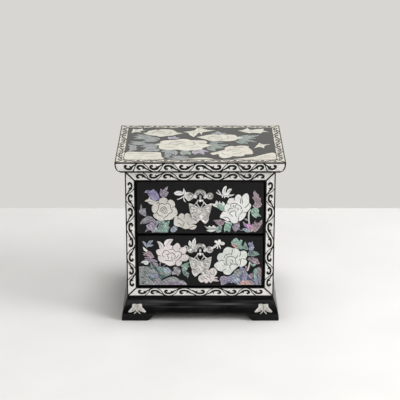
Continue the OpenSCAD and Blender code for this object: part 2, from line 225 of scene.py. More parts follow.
# %% Black-stained board, satin
stained, shader = new_finish("black_stained_board", Specular_IOR_Level=0.35)
spot = add(stained, "TexCoord").outputs["Object"]
stretch = add(stained, "Mapping", {"Vector": spot, "Scale": (0.06, 1.0, 1.0)})
grain = add(stained, "TexNoise", {"Vector": stretch.outputs["Vector"], "Scale": 1 / mm(1.2), "Detail": 4.0})
streaks = add(stained, "ValToRGB", {"Fac": grain.outputs["Fac"]},
              stops=[(0.35, "#15110f"), (0.7, "#2b2420")])
satin = add(stained, "MapRange", {"Value": grain.outputs["Fac"], "To Min": 0.42, "To Max": 0.6})
pores = add(stained, "Bump", {"Height": grain.outputs["Fac"], "Strength": 0.2, "Distance": mm(0.2)})
wire(stained, streaks.outputs["Color"], shader, "Base Color")
wire(stained, satin.outputs["Result"], shader, "Roughness")
wire(stained, pores.outputs["Normal"], shader, "Normal")
print("Finish:", stained.name)

# %% [markdown]
# ## Shell
# White pearl shell is cream with breaths of pink and green, and abalone runs from violet to sea green
# within a few millimetres. Both grow in layers, so every tint drifts along wavy bands, and both are laid in
# small chips that differ a little. One recipe serves all the shells: a noise of a few millimetres and a
# cell for each chip pick the tint from a ramp, a warped wave adds the growth lines, and a polished coat
# lies over it all. Real growth lines are finer than the picture can show, so they are drawn more than a
# millimetre apart.

# %% Shell tints
def shell_finish(name, tints, drift, lines, chip, mixed, relief):
    """A polished shell; drift of its tints, gap of its growth lines and size of its chips in millimetres"""
    material, shader = new_finish(name, Coat_Weight=0.3, Coat_Roughness=0.1)
    spot = add(material, "TexCoord").outputs["Object"]
    cloud = add(material, "TexNoise", {"Vector": spot, "Scale": 1 / mm(drift), "Detail": 2.0,
                                       "Distortion": 1.2})
    chips = add(material, "TexVoronoi", {"Vector": spot, "Scale": 1 / mm(chip)})
    pick = add(material, "Mix", {"Factor": mixed, "A": cloud.outputs["Fac"], "B": chips.outputs["Color"]})
    first, last = 0.3, 0.72
    spread = (last - first) / (len(tints) - 1)
    stops = [(first + spread * i, tint) for i, tint in enumerate(tints)]
    tint = add(material, "ValToRGB", {"Fac": pick.outputs["Result"]}, stops=stops)
    growth = add(material, "TexWave", {"Vector": spot, "Scale": 0.314 / mm(lines), "Distortion": 11.0,
                                       "Detail": 3.0, "Detail Scale": 0.8}, bands_direction="DIAGONAL")
    shade = add(material, "MapRange", {"Value": growth.outputs["Fac"], "To Min": relief, "To Max": 1.1})
    layered = add(material, "Mix", data_type="RGBA", blend_type="MULTIPLY", inputs={
        "Factor": 1.0, "A": tint.outputs["Color"], "B": shade.outputs["Result"]})
    rubbed = add(material, "MapRange", {"Value": cloud.outputs["Fac"], "To Min": 0.2, "To Max": 0.42})
    uneven = add(material, "Bump", {"Height": growth.outputs["Fac"], "Strength": 0.06, "Distance": mm(0.1)})
    wire(material, layered.outputs["Result"], shader, "Base Color")
    wire(material, rubbed.outputs["Result"], shader, "Roughness")
    wire(material, uneven.outputs["Normal"], shader, "Normal")
    return material


pearls = {"pearl": ["#d6d4d1", "#e2e0dd", "#e8e6e3", "#dfe2da"], "cream": ["#c9c6c0", "#d6d3cd", "#dfddd7"],
          "white": ["#dcdcda", "#e8e8e6", "#f0f0ee"], "rose": ["#d9d2d1", "#e4dddd", "#ebe5e5"],
          "mint": ["#d2d7d2", "#dee3dd", "#e7ebe6"], "ivory": ["#bcb8ab", "#c8c4b7", "#d1cec3"]}
abalones = {"violet": ["#6a6488", "#8d86b4", "#a9a2c8", "#c3bdd6"],
            "lilac": ["#746c7a", "#9c92a5", "#b8acc3", "#cdc5d3"],
            "mist": ["#6b6970", "#95929a", "#b2afb8", "#cfccd3"],
            "green": ["#638c7c", "#92bfae", "#b0d0c3", "#d0ddd5"],
            "teal": ["#4a6560", "#7b9a94", "#a2b8b2", "#c9d1cc"],
            "pink": ["#73656d", "#a08a96", "#bca8b2", "#d1c4cb"],
            "magenta": ["#9a90c8", "#d09ad8", "#e4aadd", "#d9c4de"],
            "blue": ["#747e8d", "#9ba8b8", "#b5c0cd", "#ccd4db"],
            "coral": ["#97b2a9", "#d6b0b2", "#e3b9a6", "#ddc5cd"],
            "rock": ["#656d6b", "#929b97", "#adb3b3", "#c4c8c7"],
            "deep": ["#1c2b30", "#3a5658", "#5b7c7d", "#86a09f"],
            "night": ["#34354a", "#585a7a", "#7d80a0", "#a3a6be"],
            "dusk": ["#6c6d86", "#979ab5", "#adb1ca", "#c3c5dc"],
            "haze": ["#6a7072", "#868d8f", "#9aa1a2", "#adb2b2"],
            "sage": ["#5f6b67", "#7a8a84", "#919f99", "#a7b0aa"]}
calm = {"drift": 8, "lines": 1.5, "chip": 9, "mixed": 0.4, "relief": 0.96}
lively = {"drift": 3.2, "lines": 1.3, "chip": 1.8, "mixed": 0.2, "relief": 0.5}
shells = {name: shell_finish(name + "_pearl_shell", tints, **calm) for name, tints in pearls.items()}
for name, tints in abalones.items():
    shells[name] = shell_finish(name + "_abalone", tints, **lively)
print("Shell finishes:", len(shells))

# %% [markdown]
# ## Engraved lines, silver and velvet
# The shell is engraved with a burin and the cuts are rubbed with dark lacquer, so they read as thin matt
# lines. The pulls are cast, silvered and toned: the polish wears bright on high spots and stays grey in the
# hollows. Velvet is a short upright pile that looks dark from above and pale at its edges, which sheen
# gives. Its pile is drawn coarser than it is, so that it shows.

# %% Lacquer rubbed into engraved lines, and thinner into the veins of leaves
def mottled_finish(name, drift, tones, **sockets):
    """A plain finish whose tone drifts from dark to pale over some millimetres"""
    material, shader = new_finish(name, **sockets)
    spot = add(material, "TexCoord").outputs["Object"]
    cloud = add(material, "TexNoise", {"Vector": spot, "Scale": 1 / mm(drift), "Detail": 2.0})
    tone = add(material, "ValToRGB", {"Fac": cloud.outputs["Fac"]}, stops=tones)
    wire(material, tone.outputs["Color"], shader, "Base Color")
    return material


engraved = mottled_finish("lacquer_in_engraving", 1.5, [(0.3, "#1f1d1b"), (0.75, "#46423c")],
                          Roughness=0.55)
scratched = mottled_finish("thin_lacquer_in_veins", 1.2, [(0.3, "#46434c"), (0.75, "#85818c")],
                           Roughness=0.5)
print("Finishes:", engraved.name, scratched.name)

# %% Toned silver plate on a casting
silver, shader = new_finish("toned_silver_casting", Metallic=1.0)
spot = add(silver, "TexCoord").outputs["Object"]
tone = add(silver, "TexNoise", {"Vector": spot, "Scale": 1 / mm(2.2), "Detail": 4.0})
bright = add(silver, "ValToRGB", {"Fac": tone.outputs["Fac"]},
             stops=[(0.3, "#908e8b"), (0.48, "#d3d1ce"), (0.68, "#f6f5f4")])
polish = add(silver, "MapRange", {"Value": tone.outputs["Fac"], "From Min": 0.3, "From Max": 0.7,
                                  "To Min": 0.46, "To Max": 0.24})
cast = add(silver, "Bump", {"Height": tone.outputs["Fac"], "Strength": 0.25, "Distance": mm(0.15)})
wire(silver, bright.outputs["Color"], shader, "Base Color")
wire(silver, polish.outputs["Result"], shader, "Roughness")
wire(silver, cast.outputs["Normal"], shader, "Normal")

patina = mottled_finish("dark_silver_patina", 1, [(0.3, "#2c2b29"), (0.7, "#5a5752")],
                        Metallic=0.6, Roughness=0.55)
print("Finishes:", silver.name, patina.name)

# %% Short-pile velvet
velvet, shader = new_finish("short_pile_velvet", Roughness=0.9, Sheen_Weight=0.8, Sheen_Roughness=0.4,
                            Sheen_Tint=linear("#c96a78"))
spot = add(velvet, "TexCoord").outputs["Object"]
nap = add(velvet, "TexNoise", {"Vector": spot, "Scale": 1 / mm(7), "Detail": 3.0})
brushed = add(velvet, "ValToRGB", {"Fac": nap.outputs["Fac"]}, stops=[(0.3, "#4a0f1b"), (0.7, "#6f1a2a")])
pile = add(velvet, "TexNoise", {"Vector": spot, "Scale": 1 / mm(0.5), "Detail": 2.0})
fibres = add(velvet, "Bump", {"Height": pile.outputs["Fac"], "Strength": 0.5, "Distance": mm(0.3)})
wire(velvet, brushed.outputs["Color"], shader, "Base Color")
wire(velvet, fibres.outputs["Normal"], shader, "Normal")
print("Finish:", velvet.name)

# %% [markdown]
# ## Lacquered boards
# A CAD node arrives as loose triangles with hard facets. On a glossy board that would show, so each visible
# node is copied, its points are merged, its flat faces are made whole and its curves are shaded smooth. The
# copy then stands for the node. What stays hidden only needs its finish.

# %% Dress the boards
node_weld = 1e-6
flat_within = 0.3
crease_angle = 38
levels = ("upper", "lower")


def copy_node(name):
    """A merged copy of a CAD node, free of its body"""
    only(nodes[name])
    bpy.ops.object.duplicate()
    piece = bpy.context.object
    bpy.ops.object.parent_clear(type="CLEAR_KEEP_TRANSFORM")
    bpy.ops.object.transform_apply(location=True, rotation=True, scale=True)
    bpy.ops.mesh.customdata_custom_splitnormals_clear()
    bpy.ops.object.mode_set(mode="EDIT")
    bpy.ops.mesh.select_all(action="SELECT")
    bpy.ops.mesh.remove_doubles(threshold=node_weld)
    bpy.ops.mesh.dissolve_limited(angle_limit=math.radians(flat_within))
    bpy.ops.object.mode_set(mode="OBJECT")
    return piece


def soften(piece, width=0):
    """Breaks the sharp edges of a piece where a width is given, and shades its curves smooth"""
    only(piece)
    if width:
        edge = piece.modifiers.new("broken_edges", "BEVEL")
        edge.width = mm(width)
        edge.segments = 2
        edge.limit_method = "ANGLE"
        edge.angle_limit = math.radians(crease_angle)
        bpy.ops.object.modifier_apply(modifier=edge.name)
    bpy.ops.object.shade_smooth_by_angle(angle=math.radians(crease_angle))


def stand_in(piece, name, finish, body, slot, *stands_for):
    """Names and finishes a piece that takes the place of CAD nodes"""
    piece.name = name
    give(piece, finish, body)
    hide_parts(*stands_for)


bodies = {name: "cabinet" for name in ("left_board", "right_board", "upper_board", "lower_board")}
bodies.update({level + "_drawer_front": level + "_drawer" for level in levels})
for name, body in bodies.items():
    piece = copy_node(name)
    soften(piece)
    stand_in(piece, name + "_lacquered", lacquer, body, "black_lacquer", name)
print("Lacquered boards:", len(bodies))

# %% [markdown]
# ## Top slab
# The slab carries shell on its top and round its moulded edge. In the frame its top face is the highest
# point of the chest, so the copy's field is sunk by a third of a millimetre. The shell picture can then lie
# on it and stay inside the true height.

# %% Sink the field of the slab
def edge_of(name, end, axis):
    """Where a CAD node begins (end 0) or stops (end 1) along an axis, in millimetres"""
    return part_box(name)[end][axis] * 1000


slab_top = edge_of("top_slab", 1, 2)
field_sink = 0.3
pick_within = 0.05
slab = copy_node("top_slab")
for vertex in slab.data.vertices:
    vertex.select = vertex.co.z > mm(slab_top - pick_within)
only(slab)
bpy.ops.object.mode_set(mode="EDIT")
bpy.ops.transform.translate(value=(0, 0, -mm(field_sink)))
bpy.ops.object.mode_set(mode="OBJECT")
soften(slab)
stand_in(slab, "slab_lacquered", lacquer, "cabinet", "black_lacquer", "top_slab")
print("Slab top at", slab_top, "mm, field at", slab_top - field_sink, "mm")

# %% [markdown]
# ## Plinth
# On the chest the four plinth mouldings are glued at mitres and lacquered over, so no joint shows and the
# corners are gently rounded. The four copies are joined, the mitre faces inside are deleted, and the corner
# edges that are left get a round bevel.

# %% One moulding round the foot
plinth_names = ["plinth_front", "plinth_back", "plinth_left", "plinth_right"]
mitre_within, corner_within = 0.01, 0.02
corner_round, plinth_arris = 1.3, 0.35
least_slant = 0.6
plinth = join("plinth_lacquered", [copy_node(name) for name in plinth_names])
only(plinth)
bpy.ops.object.mode_set(mode="EDIT")
bpy.ops.mesh.select_mode(type="FACE")
bpy.ops.object.mode_set(mode="OBJECT")
for polygon in plinth.data.polygons:
    across = abs(abs(polygon.normal.x) - abs(polygon.normal.y))
    polygon.select = across < mitre_within and abs(polygon.normal.x) > least_slant
bpy.ops.object.mode_set(mode="EDIT")
bpy.ops.mesh.delete(type="FACE")
bpy.ops.mesh.select_all(action="SELECT")
bpy.ops.mesh.remove_doubles(threshold=node_weld)
bpy.ops.mesh.select_mode(type="EDGE")
bpy.ops.mesh.select_all(action="DESELECT")
bpy.ops.object.mode_set(mode="OBJECT")
points = plinth.data.vertices
half_w, half_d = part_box("right_board")[1][0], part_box("right_board")[1][1]
for edge in plinth.data.edges:
    ends = [points[i].co for i in edge.vertices]
    on_corner = [abs((abs(p.x) - half_w) - (abs(p.y) - half_d)) < mm(corner_within) for p in ends]
    outside = [abs(p.x) > half_w - mm(pick_within) for p in ends]
    edge.select = all(on_corner + outside)
corner_edges = sum(edge.select for edge in plinth.data.edges)
bpy.ops.object.mode_set(mode="EDIT")
bpy.ops.mesh.bevel(offset=mm(corner_round), segments=4, affect="EDGES")
bpy.ops.object.mode_set(mode="OBJECT")
soften(plinth, plinth_arris)
stand_in(plinth, plinth.name, moulding_lacquer, "cabinet", "black_lacquer", *plinth_names)
print("Plinth corner edges rounded:", corner_edges)

# %% Hidden boards take the stain
hidden = ["back_panel", "drawer_shelf", "plinth_corner_blocks"]
for level in levels:
    hidden += [level + "_drawer_" + part for part in ("left_side", "right_side", "back", "bottom")]
for name in hidden:
    paint(nodes[name], stained)
print("Stained boards:", len(hidden))

# %% [markdown]
# ## A saw and two nibs
# Shell is sawn to a closed outline, so a flat filled curve with a little thickness gives the piece, and it
# becomes a mesh before it is placed. A drawn line swells and tapers like a brush stroke. Each stroke is a
# curve whose radius changes from point to point and whose profile is a nib: a fine flat one for lacquer
# lines and engraving, a broad one for raised ribs of silver.

# %% The saw and the nibs
def flat_curve():
    """An empty flat curve, the only thing selected"""
    bpy.ops.object.select_all(action="DESELECT")
    bpy.ops.object.add(type="CURVE")
    curve = bpy.context.object
    curve.data.dimensions = "2D"
    return curve


def add_line(curve, points, closed):
    """Adds a line of (x, y, half width) millimetres to a flat curve"""
    spline = curve.data.splines.new("POLY")
    spline.points.add(len(points) - 1)
    for point, (x, y, half) in zip(spline.points, points):
        point.co = (mm(x), mm(y), 0, 1)
        point.radius = half
    spline.use_cyclic_u = closed


def make_nib(name, thick):
    """A flat brush tip that reaches a millimetre to either side"""
    tip = flat_curve()
    tip.name = name
    add_line(tip, [(-1, -thick, 1), (1, -thick, 1), (1, thick, 1), (-1, thick, 1)], True)
    return tip


fine_nib = make_nib("fine_nib", 0.05)
broad_nib = make_nib("broad_nib", 0.3)


def as_mesh(name, height):
    """Turns the curve just drawn into a mesh and lifts it by some millimetres"""
    bpy.ops.object.convert(target="MESH")
    piece = bpy.context.object
    piece.name = name
    settle(piece, (0, 0, height))
    return piece


def saw(name, outline, rise):
    """A flat piece sawn to a closed outline of (x, y) millimetres, its back at zero height"""
    piece = flat_curve()
    piece.data.fill_mode = "BOTH"
    piece.data.extrude = mm(rise) / 2
    add_line(piece, [(x, y, 1) for x, y in outline], True)
    return as_mesh(name, rise / 2)


def draw(name, strokes, height=0.0, nib=fine_nib):
    """Tapered strokes of (x, y, half width) millimetres, as one flat mesh"""
    lines = flat_curve()
    lines.data.bevel_mode = "OBJECT"
    lines.data.bevel_object = nib
    lines.data.use_fill_caps = True
    lines.data.fill_mode = "NONE"
    for stroke in strokes:
        add_line(lines, stroke, False)
    return as_mesh(name, height)


def taper(points, half, ends=0.35):
    """Gives a line its swelling: thin at both ends, full in the middle"""
    last = len(points) - 1
    swell = [ends + (1 - ends) * math.sin(math.pi * i / last) for i in range(last + 1)]
    return [(x, y, half * full) for (x, y), full in zip(points, swell)]


def between(a, b, c, d, steps):
    """The points of a flowing line from b up to c, which comes from a and goes on to d"""
    flow = []
    for step in range(steps):
        t = step / steps
        flow.append(tuple(
            0.5 * (2 * q + (r - p) * t + (2 * p - 5 * q + 4 * r - s) * t * t
                   + (3 * q - p - 3 * r + s) * t ** 3)
            for p, q, r, s in zip(a, b, c, d)))
    return flow


def smooth(points, steps=6):
    """A flowing line through a few points"""
    last = len(points) - 1
    flow = []
    for i in range(last):
        flow += between(points[max(i - 1, 0)], points[i], points[i + 1], points[min(i + 2, last)], steps)
    return flow + [points[-1]]


print("Saw and nibs are ready")

# %% [markdown]
# ## Scroll borders
# Every border strip carries the same running vine: a pale stem that swings from edge to edge, with a dark
# curl in each bend. The shell is left standing and the lacquer fills the cuts, so only the lacquer is
# drawn: a hook that runs out into a tail, a barb on the hook, and a thin line along the far side of the
# stem. The outermost bends go without that line, because the mitres are close. One bend is described once.
# It is mirrored from bend to bend, and from both ends of a strip the tails run to its middle. Strokes stop
# short of the mitres, which get a line of their own, and two rim lines close the strip.

# %% The strokes of one strip
drawn_pitch, drawn_band = 10.2, 7.2
hook = [(-0.35, 0.75, 0.45), (-0.95, 1.25, 0.72), (-1.7, 1.1, 0.9), (-2.15, 0.45, 0.98),
        (-2.05, -0.35, 0.96), (-1.45, -0.95, 0.86), (-0.5, -1.25, 0.78), (0.7, -1.25, 0.76),
        (1.85, -0.95, 0.86), (2.75, -0.35, 0.94), (3.5, 0.3, 0.74), (4.3, 0.9, 0.58),
        (5.4, 1.5, 0.48), (6.6, 2.25, 0.42), (7.7, 2.95, 0.36), (8.7, 3.35, 0.2)]
barb = [(2.6, -0.4, 0.72), (2.2, 0.45, 0.56), (1.65, 1.3, 0.15)]
stalk = [(-7.9, 3.4, 0.34), (-6.6, 2.4, 0.34), (-5.2, 1.1, 0.33), (-4.2, -0.4, 0.33), (-3.4, -1.8, 0.35),
         (-2.3, -2.8, 0.38), (-0.9, -3.35, 0.42)]
middle_ease, inset = 0.045, 0.55
mitre_half, mitre_steps = 0.46, 12
edge_clear, least_points = 0.05, 4


def scroll(length, band, bends, first=1, mitred=True, rim=0.26, margin=9.4):
    """Lacquer strokes of a strip, its outer edge up, in millimetres round its middle"""
    half = length / 2 - margin
    tall = band / drawn_band
    strokes = []
    for bend in range(bends):
        t = 2 * bend / (bends - 1) - 1
        middle = half * (t + middle_ease * math.sin(math.pi * t))
        pitch = 2 * half / (bends - 1) * (1 + middle_ease * math.pi * math.cos(math.pi * t))
        wide = pitch / drawn_pitch
        side = first if bend % 2 == 0 else -first
        way = 1 if middle <= 0 else -1
        outermost = bend in (0, bends - 1)
        for part in (hook, barb) if outermost else (hook, barb, stalk):
            flow = smooth(part, 3)
            strokes.append([(middle + way * x * wide, side * y * tall, w * tall) for x, y, w in flow])
    corner = length / 2 - inset
    lean = band if mitred else 0
    kept = []
    for stroke in strokes:
        room = [corner - (band / 2 - y if mitred else 0) - w for x, y, w in stroke]
        inside = [p for p, reach in zip(stroke, room)
                  if abs(p[0]) < reach and abs(p[1]) < band / 2 - edge_clear]
        if len(inside) >= least_points:
            kept.append(inside)
    down = [i / mitre_steps for i in range(mitre_steps + 1)]
    for end in (-1, 1):
        kept.append([(end * (corner - lean * t), band / 2 - band * t, mitre_half) for t in down])
    kept.append([(-corner, band / 2 - rim, rim), (corner, band / 2 - rim, rim)])
    kept.append([(-corner + lean, -band / 2 + rim, rim), (corner - lean, -band / 2 + rim, rim)])
    return kept


print("A bend is drawn", drawn_pitch, "mm long on a strip", drawn_band, "mm wide")

# %% [markdown]
# ## Scroll on the frame round the drawers
# The strips on the front edges of the four boards lie in one plane. Each is drawn flat, with its outer edge
# up, then turned to its side of the frame and stood upright a hair in front of the shell.

# %% Frame strips
front_y = edge_of("upper_board", 0, 1)
body_low, body_high = edge_of("lower_board", 0, 2), edge_of("upper_board", 1, 2)
body_w = 2000 * half_w
board = body_high - edge_of("upper_board", 0, 2)
line_gap, line_proud = 0.4, 0.03
frame_margin = 11.2
rail_bends, stile_bends = 9, 8
middle_z = (body_low + body_high) / 2
sides = {
    "top": (body_w, rail_bends, 0, (0, body_high - board / 2)),
    "bottom": (body_w, rail_bends, 180, (0, body_low + board / 2)),
    "left": (body_high - body_low, stile_bends, 90, (-body_w / 2 + board / 2, middle_z)),
    "right": (body_high - body_low, stile_bends, -90, (body_w / 2 - board / 2, middle_z)),
}
for side, (length, bends, turn, (x, z)) in sides.items():
    strokes = scroll(length, board - 2 * line_gap, bends, -1, margin=frame_margin)
    lines = draw("frame_scroll_" + side, strokes)
    settle(lines, turn=(0, 0, turn))
    settle(lines, (x, front_y - line_proud, z), (90, 0, 0))
    give(lines, lacquer, "cabinet")
    paint(nodes["frame_inlay_" + side], shells["pearl"])
print("Board width", round(board, 2), "front plane", front_y)

# %% [markdown]
# ## Scroll on the slab's edge and top
# The strip round the slab follows a moulding: a short upright band that rolls in under the slab. The maker
# lays the scroll out for someone who sits at the table and looks a little down on it. So the flat drawing
# is carried onto the moulding along that line of sight. The shell is pressed in by an eighth of a
# millimetre, and the lines stay within the slab's true size.

# %% Edge strips
over, slab_thick = edge_of("top_slab", 1, 0) - body_w / 2, slab_top - body_high
slab_round, slab_fall, edge_angle = 5.5, 8.0, 72
sight = math.radians(20)
profile_steps = 24
profile = [(over, slab_thick - line_gap)]
for i in range(profile_steps + 1):
    angle = math.radians(edge_angle * i / profile_steps)
    inward_by = slab_round - slab_round * math.cos(angle)
    profile.append((over - inward_by, slab_fall - slab_fall * math.sin(angle)))
seen = [(profile[0][1] - w) * math.cos(sight) - (over - u) * math.sin(sight) for u, w in profile]
edge_band = seen[-1]
edge_press, edge_lines = 0.13, 0.035


def on_moulding(down):
    """Point and outward direction on the moulding, seen some millimetres below the strip's upper edge"""
    down = min(max(down, 0), edge_band - 1e-6)
    k = max(i for i in range(len(seen) - 1) if seen[i] <= down)
    share = (down - seen[k]) / (seen[k + 1] - seen[k])
    (u0, w0), (u1, w1) = profile[k], profile[k + 1]
    size = math.hypot(u1 - u0, w1 - w0)
    return (u0 + (u1 - u0) * share, w0 + (w1 - w0) * share), (-(w1 - w0) / size, (u1 - u0) / size)


def lay_pair(lines, name):
    """Copies the lines of a strip to the opposite side and lacquers both"""
    other = twin(lines, name)
    settle(other, turn=(0, 0, 180))
    for piece in (lines, other):
        give(piece, lacquer, "cabinet")


slab_w, slab_d = body_w + 2 * over, 2000 * half_d + 2 * over
edge_rim = 0.4
rounds = {"front": (slab_w, slab_d, 11, 0, "back"), "right": (slab_d, slab_w, 8, 90, "left")}
slab_sides = ("front", "back", "left", "right")
for side, (length, reach, bends, turn, opposite) in rounds.items():
    lines = draw("edge_scroll_" + side, scroll(length, edge_band, bends, mitred=False, rim=edge_rim))
    bpy.ops.object.mode_set(mode="EDIT")
    bpy.ops.mesh.select_all(action="SELECT")
    bpy.ops.mesh.subdivide(number_cuts=1)
    bpy.ops.object.mode_set(mode="OBJECT")
    for vertex in lines.data.vertices:
        x, v, h = (part * 1000 for part in vertex.co)
        (u, w), (out_u, out_w) = on_moulding(edge_band / 2 - v)
        rise = h - edge_lines
        squeeze = 1 - 2 * (over - u) / length
        y, z = -(reach / 2 - over + u + rise * out_u), body_high + w + rise * out_w
        vertex.co = (mm(x * squeeze), mm(y), mm(z))
    settle(lines, turn=(0, 0, turn))
    lay_pair(lines, "edge_scroll_" + opposite)
for side in slab_sides:
    strip = copy_node("edge_inlay_" + side)
    bpy.ops.object.mode_set(mode="EDIT")
    bpy.ops.mesh.select_all(action="SELECT")
    bpy.ops.transform.shrink_fatten(value=-mm(edge_press))
    bpy.ops.object.mode_set(mode="OBJECT")
    soften(strip)
    stand_in(strip, "edge_shell_" + side, shells["pearl"], "cabinet", "shell", "edge_inlay_" + side)
print("Moulding strip is seen", round(edge_band, 2), "mm high")

# %% Border strips on the top
border = 7.0
border_sink = 0.12
for side, (length, reach, bends, turn, opposite) in rounds.items():
    lines = draw("border_scroll_" + side, scroll(length, border - 2 * line_gap, bends))
    settle(lines, turn=(0, 0, 180))
    settle(lines, (0, -(reach - border) / 2, slab_top - border_sink + line_proud))
    settle(lines, turn=(0, 0, turn))
    lay_pair(lines, "border_scroll_" + opposite)
for side in slab_sides:
    strip = copy_node("border_inlay_" + side)
    settle(strip, (0, 0, -border_sink))
    stand_in(strip, "border_shell_" + side, shells["ivory"], "cabinet", "shell", "border_inlay_" + side)
print("Border strips at", slab_top - border_sink, "mm")

# %% [markdown]
# ## Sawing the pictures
# The pictures are peonies, leaves, rocks and insects, old motifs of this craft. Each piece is sawn to its
# own outline, so an outline is a list of points that the saw rounds off, and a point with a third number
# stays a sharp corner: a leaf tip or the notch between two petals. Plates of one shell are joined into one
# piece. Petals lie a few hundredths of a millimetre above leaves, and lines are engraved on both. Each
# plate is a few thousandths thicker than the one before, so that plates which overlap never share a plane.

# %% Outlines, plates and lines
outline_steps = 5
leaf_rise, petal_rise, stem_rise = 0.06, 0.14, 0.06
layer_step, layers = 0.004, 12
vein_height, cut_height = 0.125, 0.205
vein_half, cut_half, fine_cut_half = 0.15, 0.25, 0.22
leaf_swell = ((0.15, 0.5), (0.42, 1), (0.72, 0.72))


def round_off(points):
    """A closed outline that flows through its points and keeps those with a third number sharp"""
    count = len(points)
    flow = []
    for i, here in enumerate(points):
        there = points[(i + 1) % count]
        before = here if len(here) == 3 else points[i - 1]
        after = there if len(there) == 3 else points[(i + 2) % count]
        flow += between(before[:2], here[:2], there[:2], after[:2], outline_steps)
    return flow


class Picture:
    """Plates sorted by shell, and lines on leaves, on petals and free, in millimetres round its middle"""

    def __init__(self, name):
        self.name = name
        self.plates = {}
        self.veins = []
        self.cuts = []
        self.stems = {}
        self.layer = 0

    def plate(self, shell, outline, rise):
        """One plate of shell, some millimetres thick"""
        self.layer = (self.layer + 1) % layers
        piece = saw(self.name + "_plate", round_off(outline), rise + layer_step * self.layer)
        self.plates.setdefault(shell, []).append(piece)

    def leaf(self, shell, outline, *lines):
        """A leaf, a rock or a wing with engraved veins"""
        self.plate(shell, outline, leaf_rise)
        self.veins += [taper(smooth(line, 4), vein_half, 0.5) for line in lines]

    def spray(self, shell, base, *tips):
        """Pointed leaves that spread from one point; a tip is its place and the width of its leaf"""
        for x, y, wide in tips:
            dx, dy = x - base[0], y - base[1]
            share = wide / 2 / math.hypot(dx, dy)
            left = [(base[0] + dx * t - dy * share * s, base[1] + dy * t + dx * share * s)
                    for t, s in leaf_swell]
            right = [(base[0] + dx * t + dy * share * s, base[1] + dy * t - dx * share * s)
                     for t, s in reversed(leaf_swell)]
            rib = [(base[0] + dx * t, base[1] + dy * t) for t in (0.1, 0.5, 0.9)]
            self.leaf(shell, left + [(x, y, 0)] + right, rib)

    def bloom(self, shell, outline, *lines, half=cut_half):
        """A peony with the engraved edges of its petals"""
        self.plate(shell, outline, petal_rise)
        self.cuts += [taper(smooth(line, 4), half, 0.6) for line in lines]

    def stem(self, shell, half, *lines):
        """Thin free pieces, such as stems and feelers"""
        self.stems.setdefault(shell, []).extend(taper(smooth(line, 5), half, 0.7) for line in lines)

    def tell(self):
        """Prints how far the picture has come"""
        plates = sum(len(pieces) for pieces in self.plates.values())
        print(self.name, "plates:", plates, "engraved lines:", len(self.veins) + len(self.cuts))

    def set(self, place, turn, body):
        """Joins the plates of each shell, lays them in place and lets them ride on a body"""
        made = []
        for shell, plates in self.plates.items():
            made.append((join(self.name + "_" + shell, plates), shells[shell]))
        made.append((draw(self.name + "_veins", self.veins, vein_height), scratched))
        made.append((draw(self.name + "_cuts", self.cuts, cut_height), engraved))
        for shell, strokes in self.stems.items():
            made.append((draw(self.name + "_stems_" + shell, strokes, stem_rise), shells[shell]))
        for piece, finish in made:
            settle(piece, place, turn)
            give(piece, finish, body)
        faces = sum(len(piece.data.polygons) for piece, finish in made)
        print(self.name, "pieces:", len(made), "faces:", faces)


print("Leaves are at least", leaf_rise, "mm thick, petals", petal_rise, "mm")

# %% [markdown]
# ## Picture on the upper drawer
# Three white peonies stand in violet, lilac and sea-green leaves, with a bee on the left and a butterfly on
# the right of the pull. Places are measured from the middle of the drawer front.

# %% Upper drawer, leaves on the left
upper = Picture("upper_picture")
upper.leaf("violet", [(-41.8, 12.4, 0), (-39.8, 14.2), (-37.2, 13.7), (-34.7, 14.9, 0), (-32.6, 13),
    (-31.2, 10.4), (-30.2, 7.6, 0), (-33.6, 5.6), (-36.8, 7.4), (-39, 10.6), (-39.2, 11.8)],
    [(-32, 7.4), (-35, 10), (-39.8, 12.6)], [(-32.6, 8), (-34.4, 11), (-34.7, 13.8)])
upper.leaf("cream", [(-41.6, 5.2, 0), (-40, 6.6), (-38.9, 7), (-38, 8.8, 0), (-37, 7), (-33.5, 5.4),
    (-31, 5.6, 0), (-32.4, 3.6), (-35.4, 2.7), (-38.2, 3.6), (-39.4, 5)],
    [(-32, 5), (-36, 4.8), (-40, 5.6)])
upper.leaf("lilac", [(-28.6, 8.6), (-30.2, 11.4), (-29.3, 15.4, 0), (-27.9, 14), (-26.7, 15.4),
    (-24, 17.2, 0), (-24.7, 14.4), (-25.4, 13.2), (-23.4, 12.7, 0), (-24.2, 11), (-25.2, 9.4), (-27, 8.6)],
    [(-27.4, 9.4), (-28.6, 12), (-29.2, 14.6)], [(-27, 9.4), (-26.4, 13), (-24.8, 16)],
    [(-26.8, 9.4), (-25.4, 11.2), (-24, 12.4)])
upper.leaf("mist", [(-44, 3.4, 0), (-43.6, 1), (-43, -0.6), (-40.8, -0.2, 0), (-40.9, -3), (-40.4, -5.4),
    (-41, -6.7, 0), (-43.6, -5.6), (-45.6, -3.9), (-46, -2.4, 0), (-44.9, -0.8), (-44.9, 1)],
    [(-41.4, -6), (-43, -2.4), (-44, 2)], [(-41.6, -5.6), (-44, -4), (-45.6, -2.8)])
upper.leaf("mist", [(-40, -6.2, 0), (-36.6, -7), (-34.4, -9.2), (-33.8, -10.4), (-37, -11.2),
    (-40.4, -12.2), (-43.2, -12.8, 0), (-43.4, -12), (-45.4, -13.4, 0), (-44.6, -11), (-42.8, -8.6),
    (-41, -7.6)], [(-34.4, -10), (-38.4, -9.4), (-44, -12)], [(-35, -9.6), (-37.6, -8), (-39.6, -7)],
    [(-36, -10.4), (-39.6, -11), (-42.6, -12.4)])
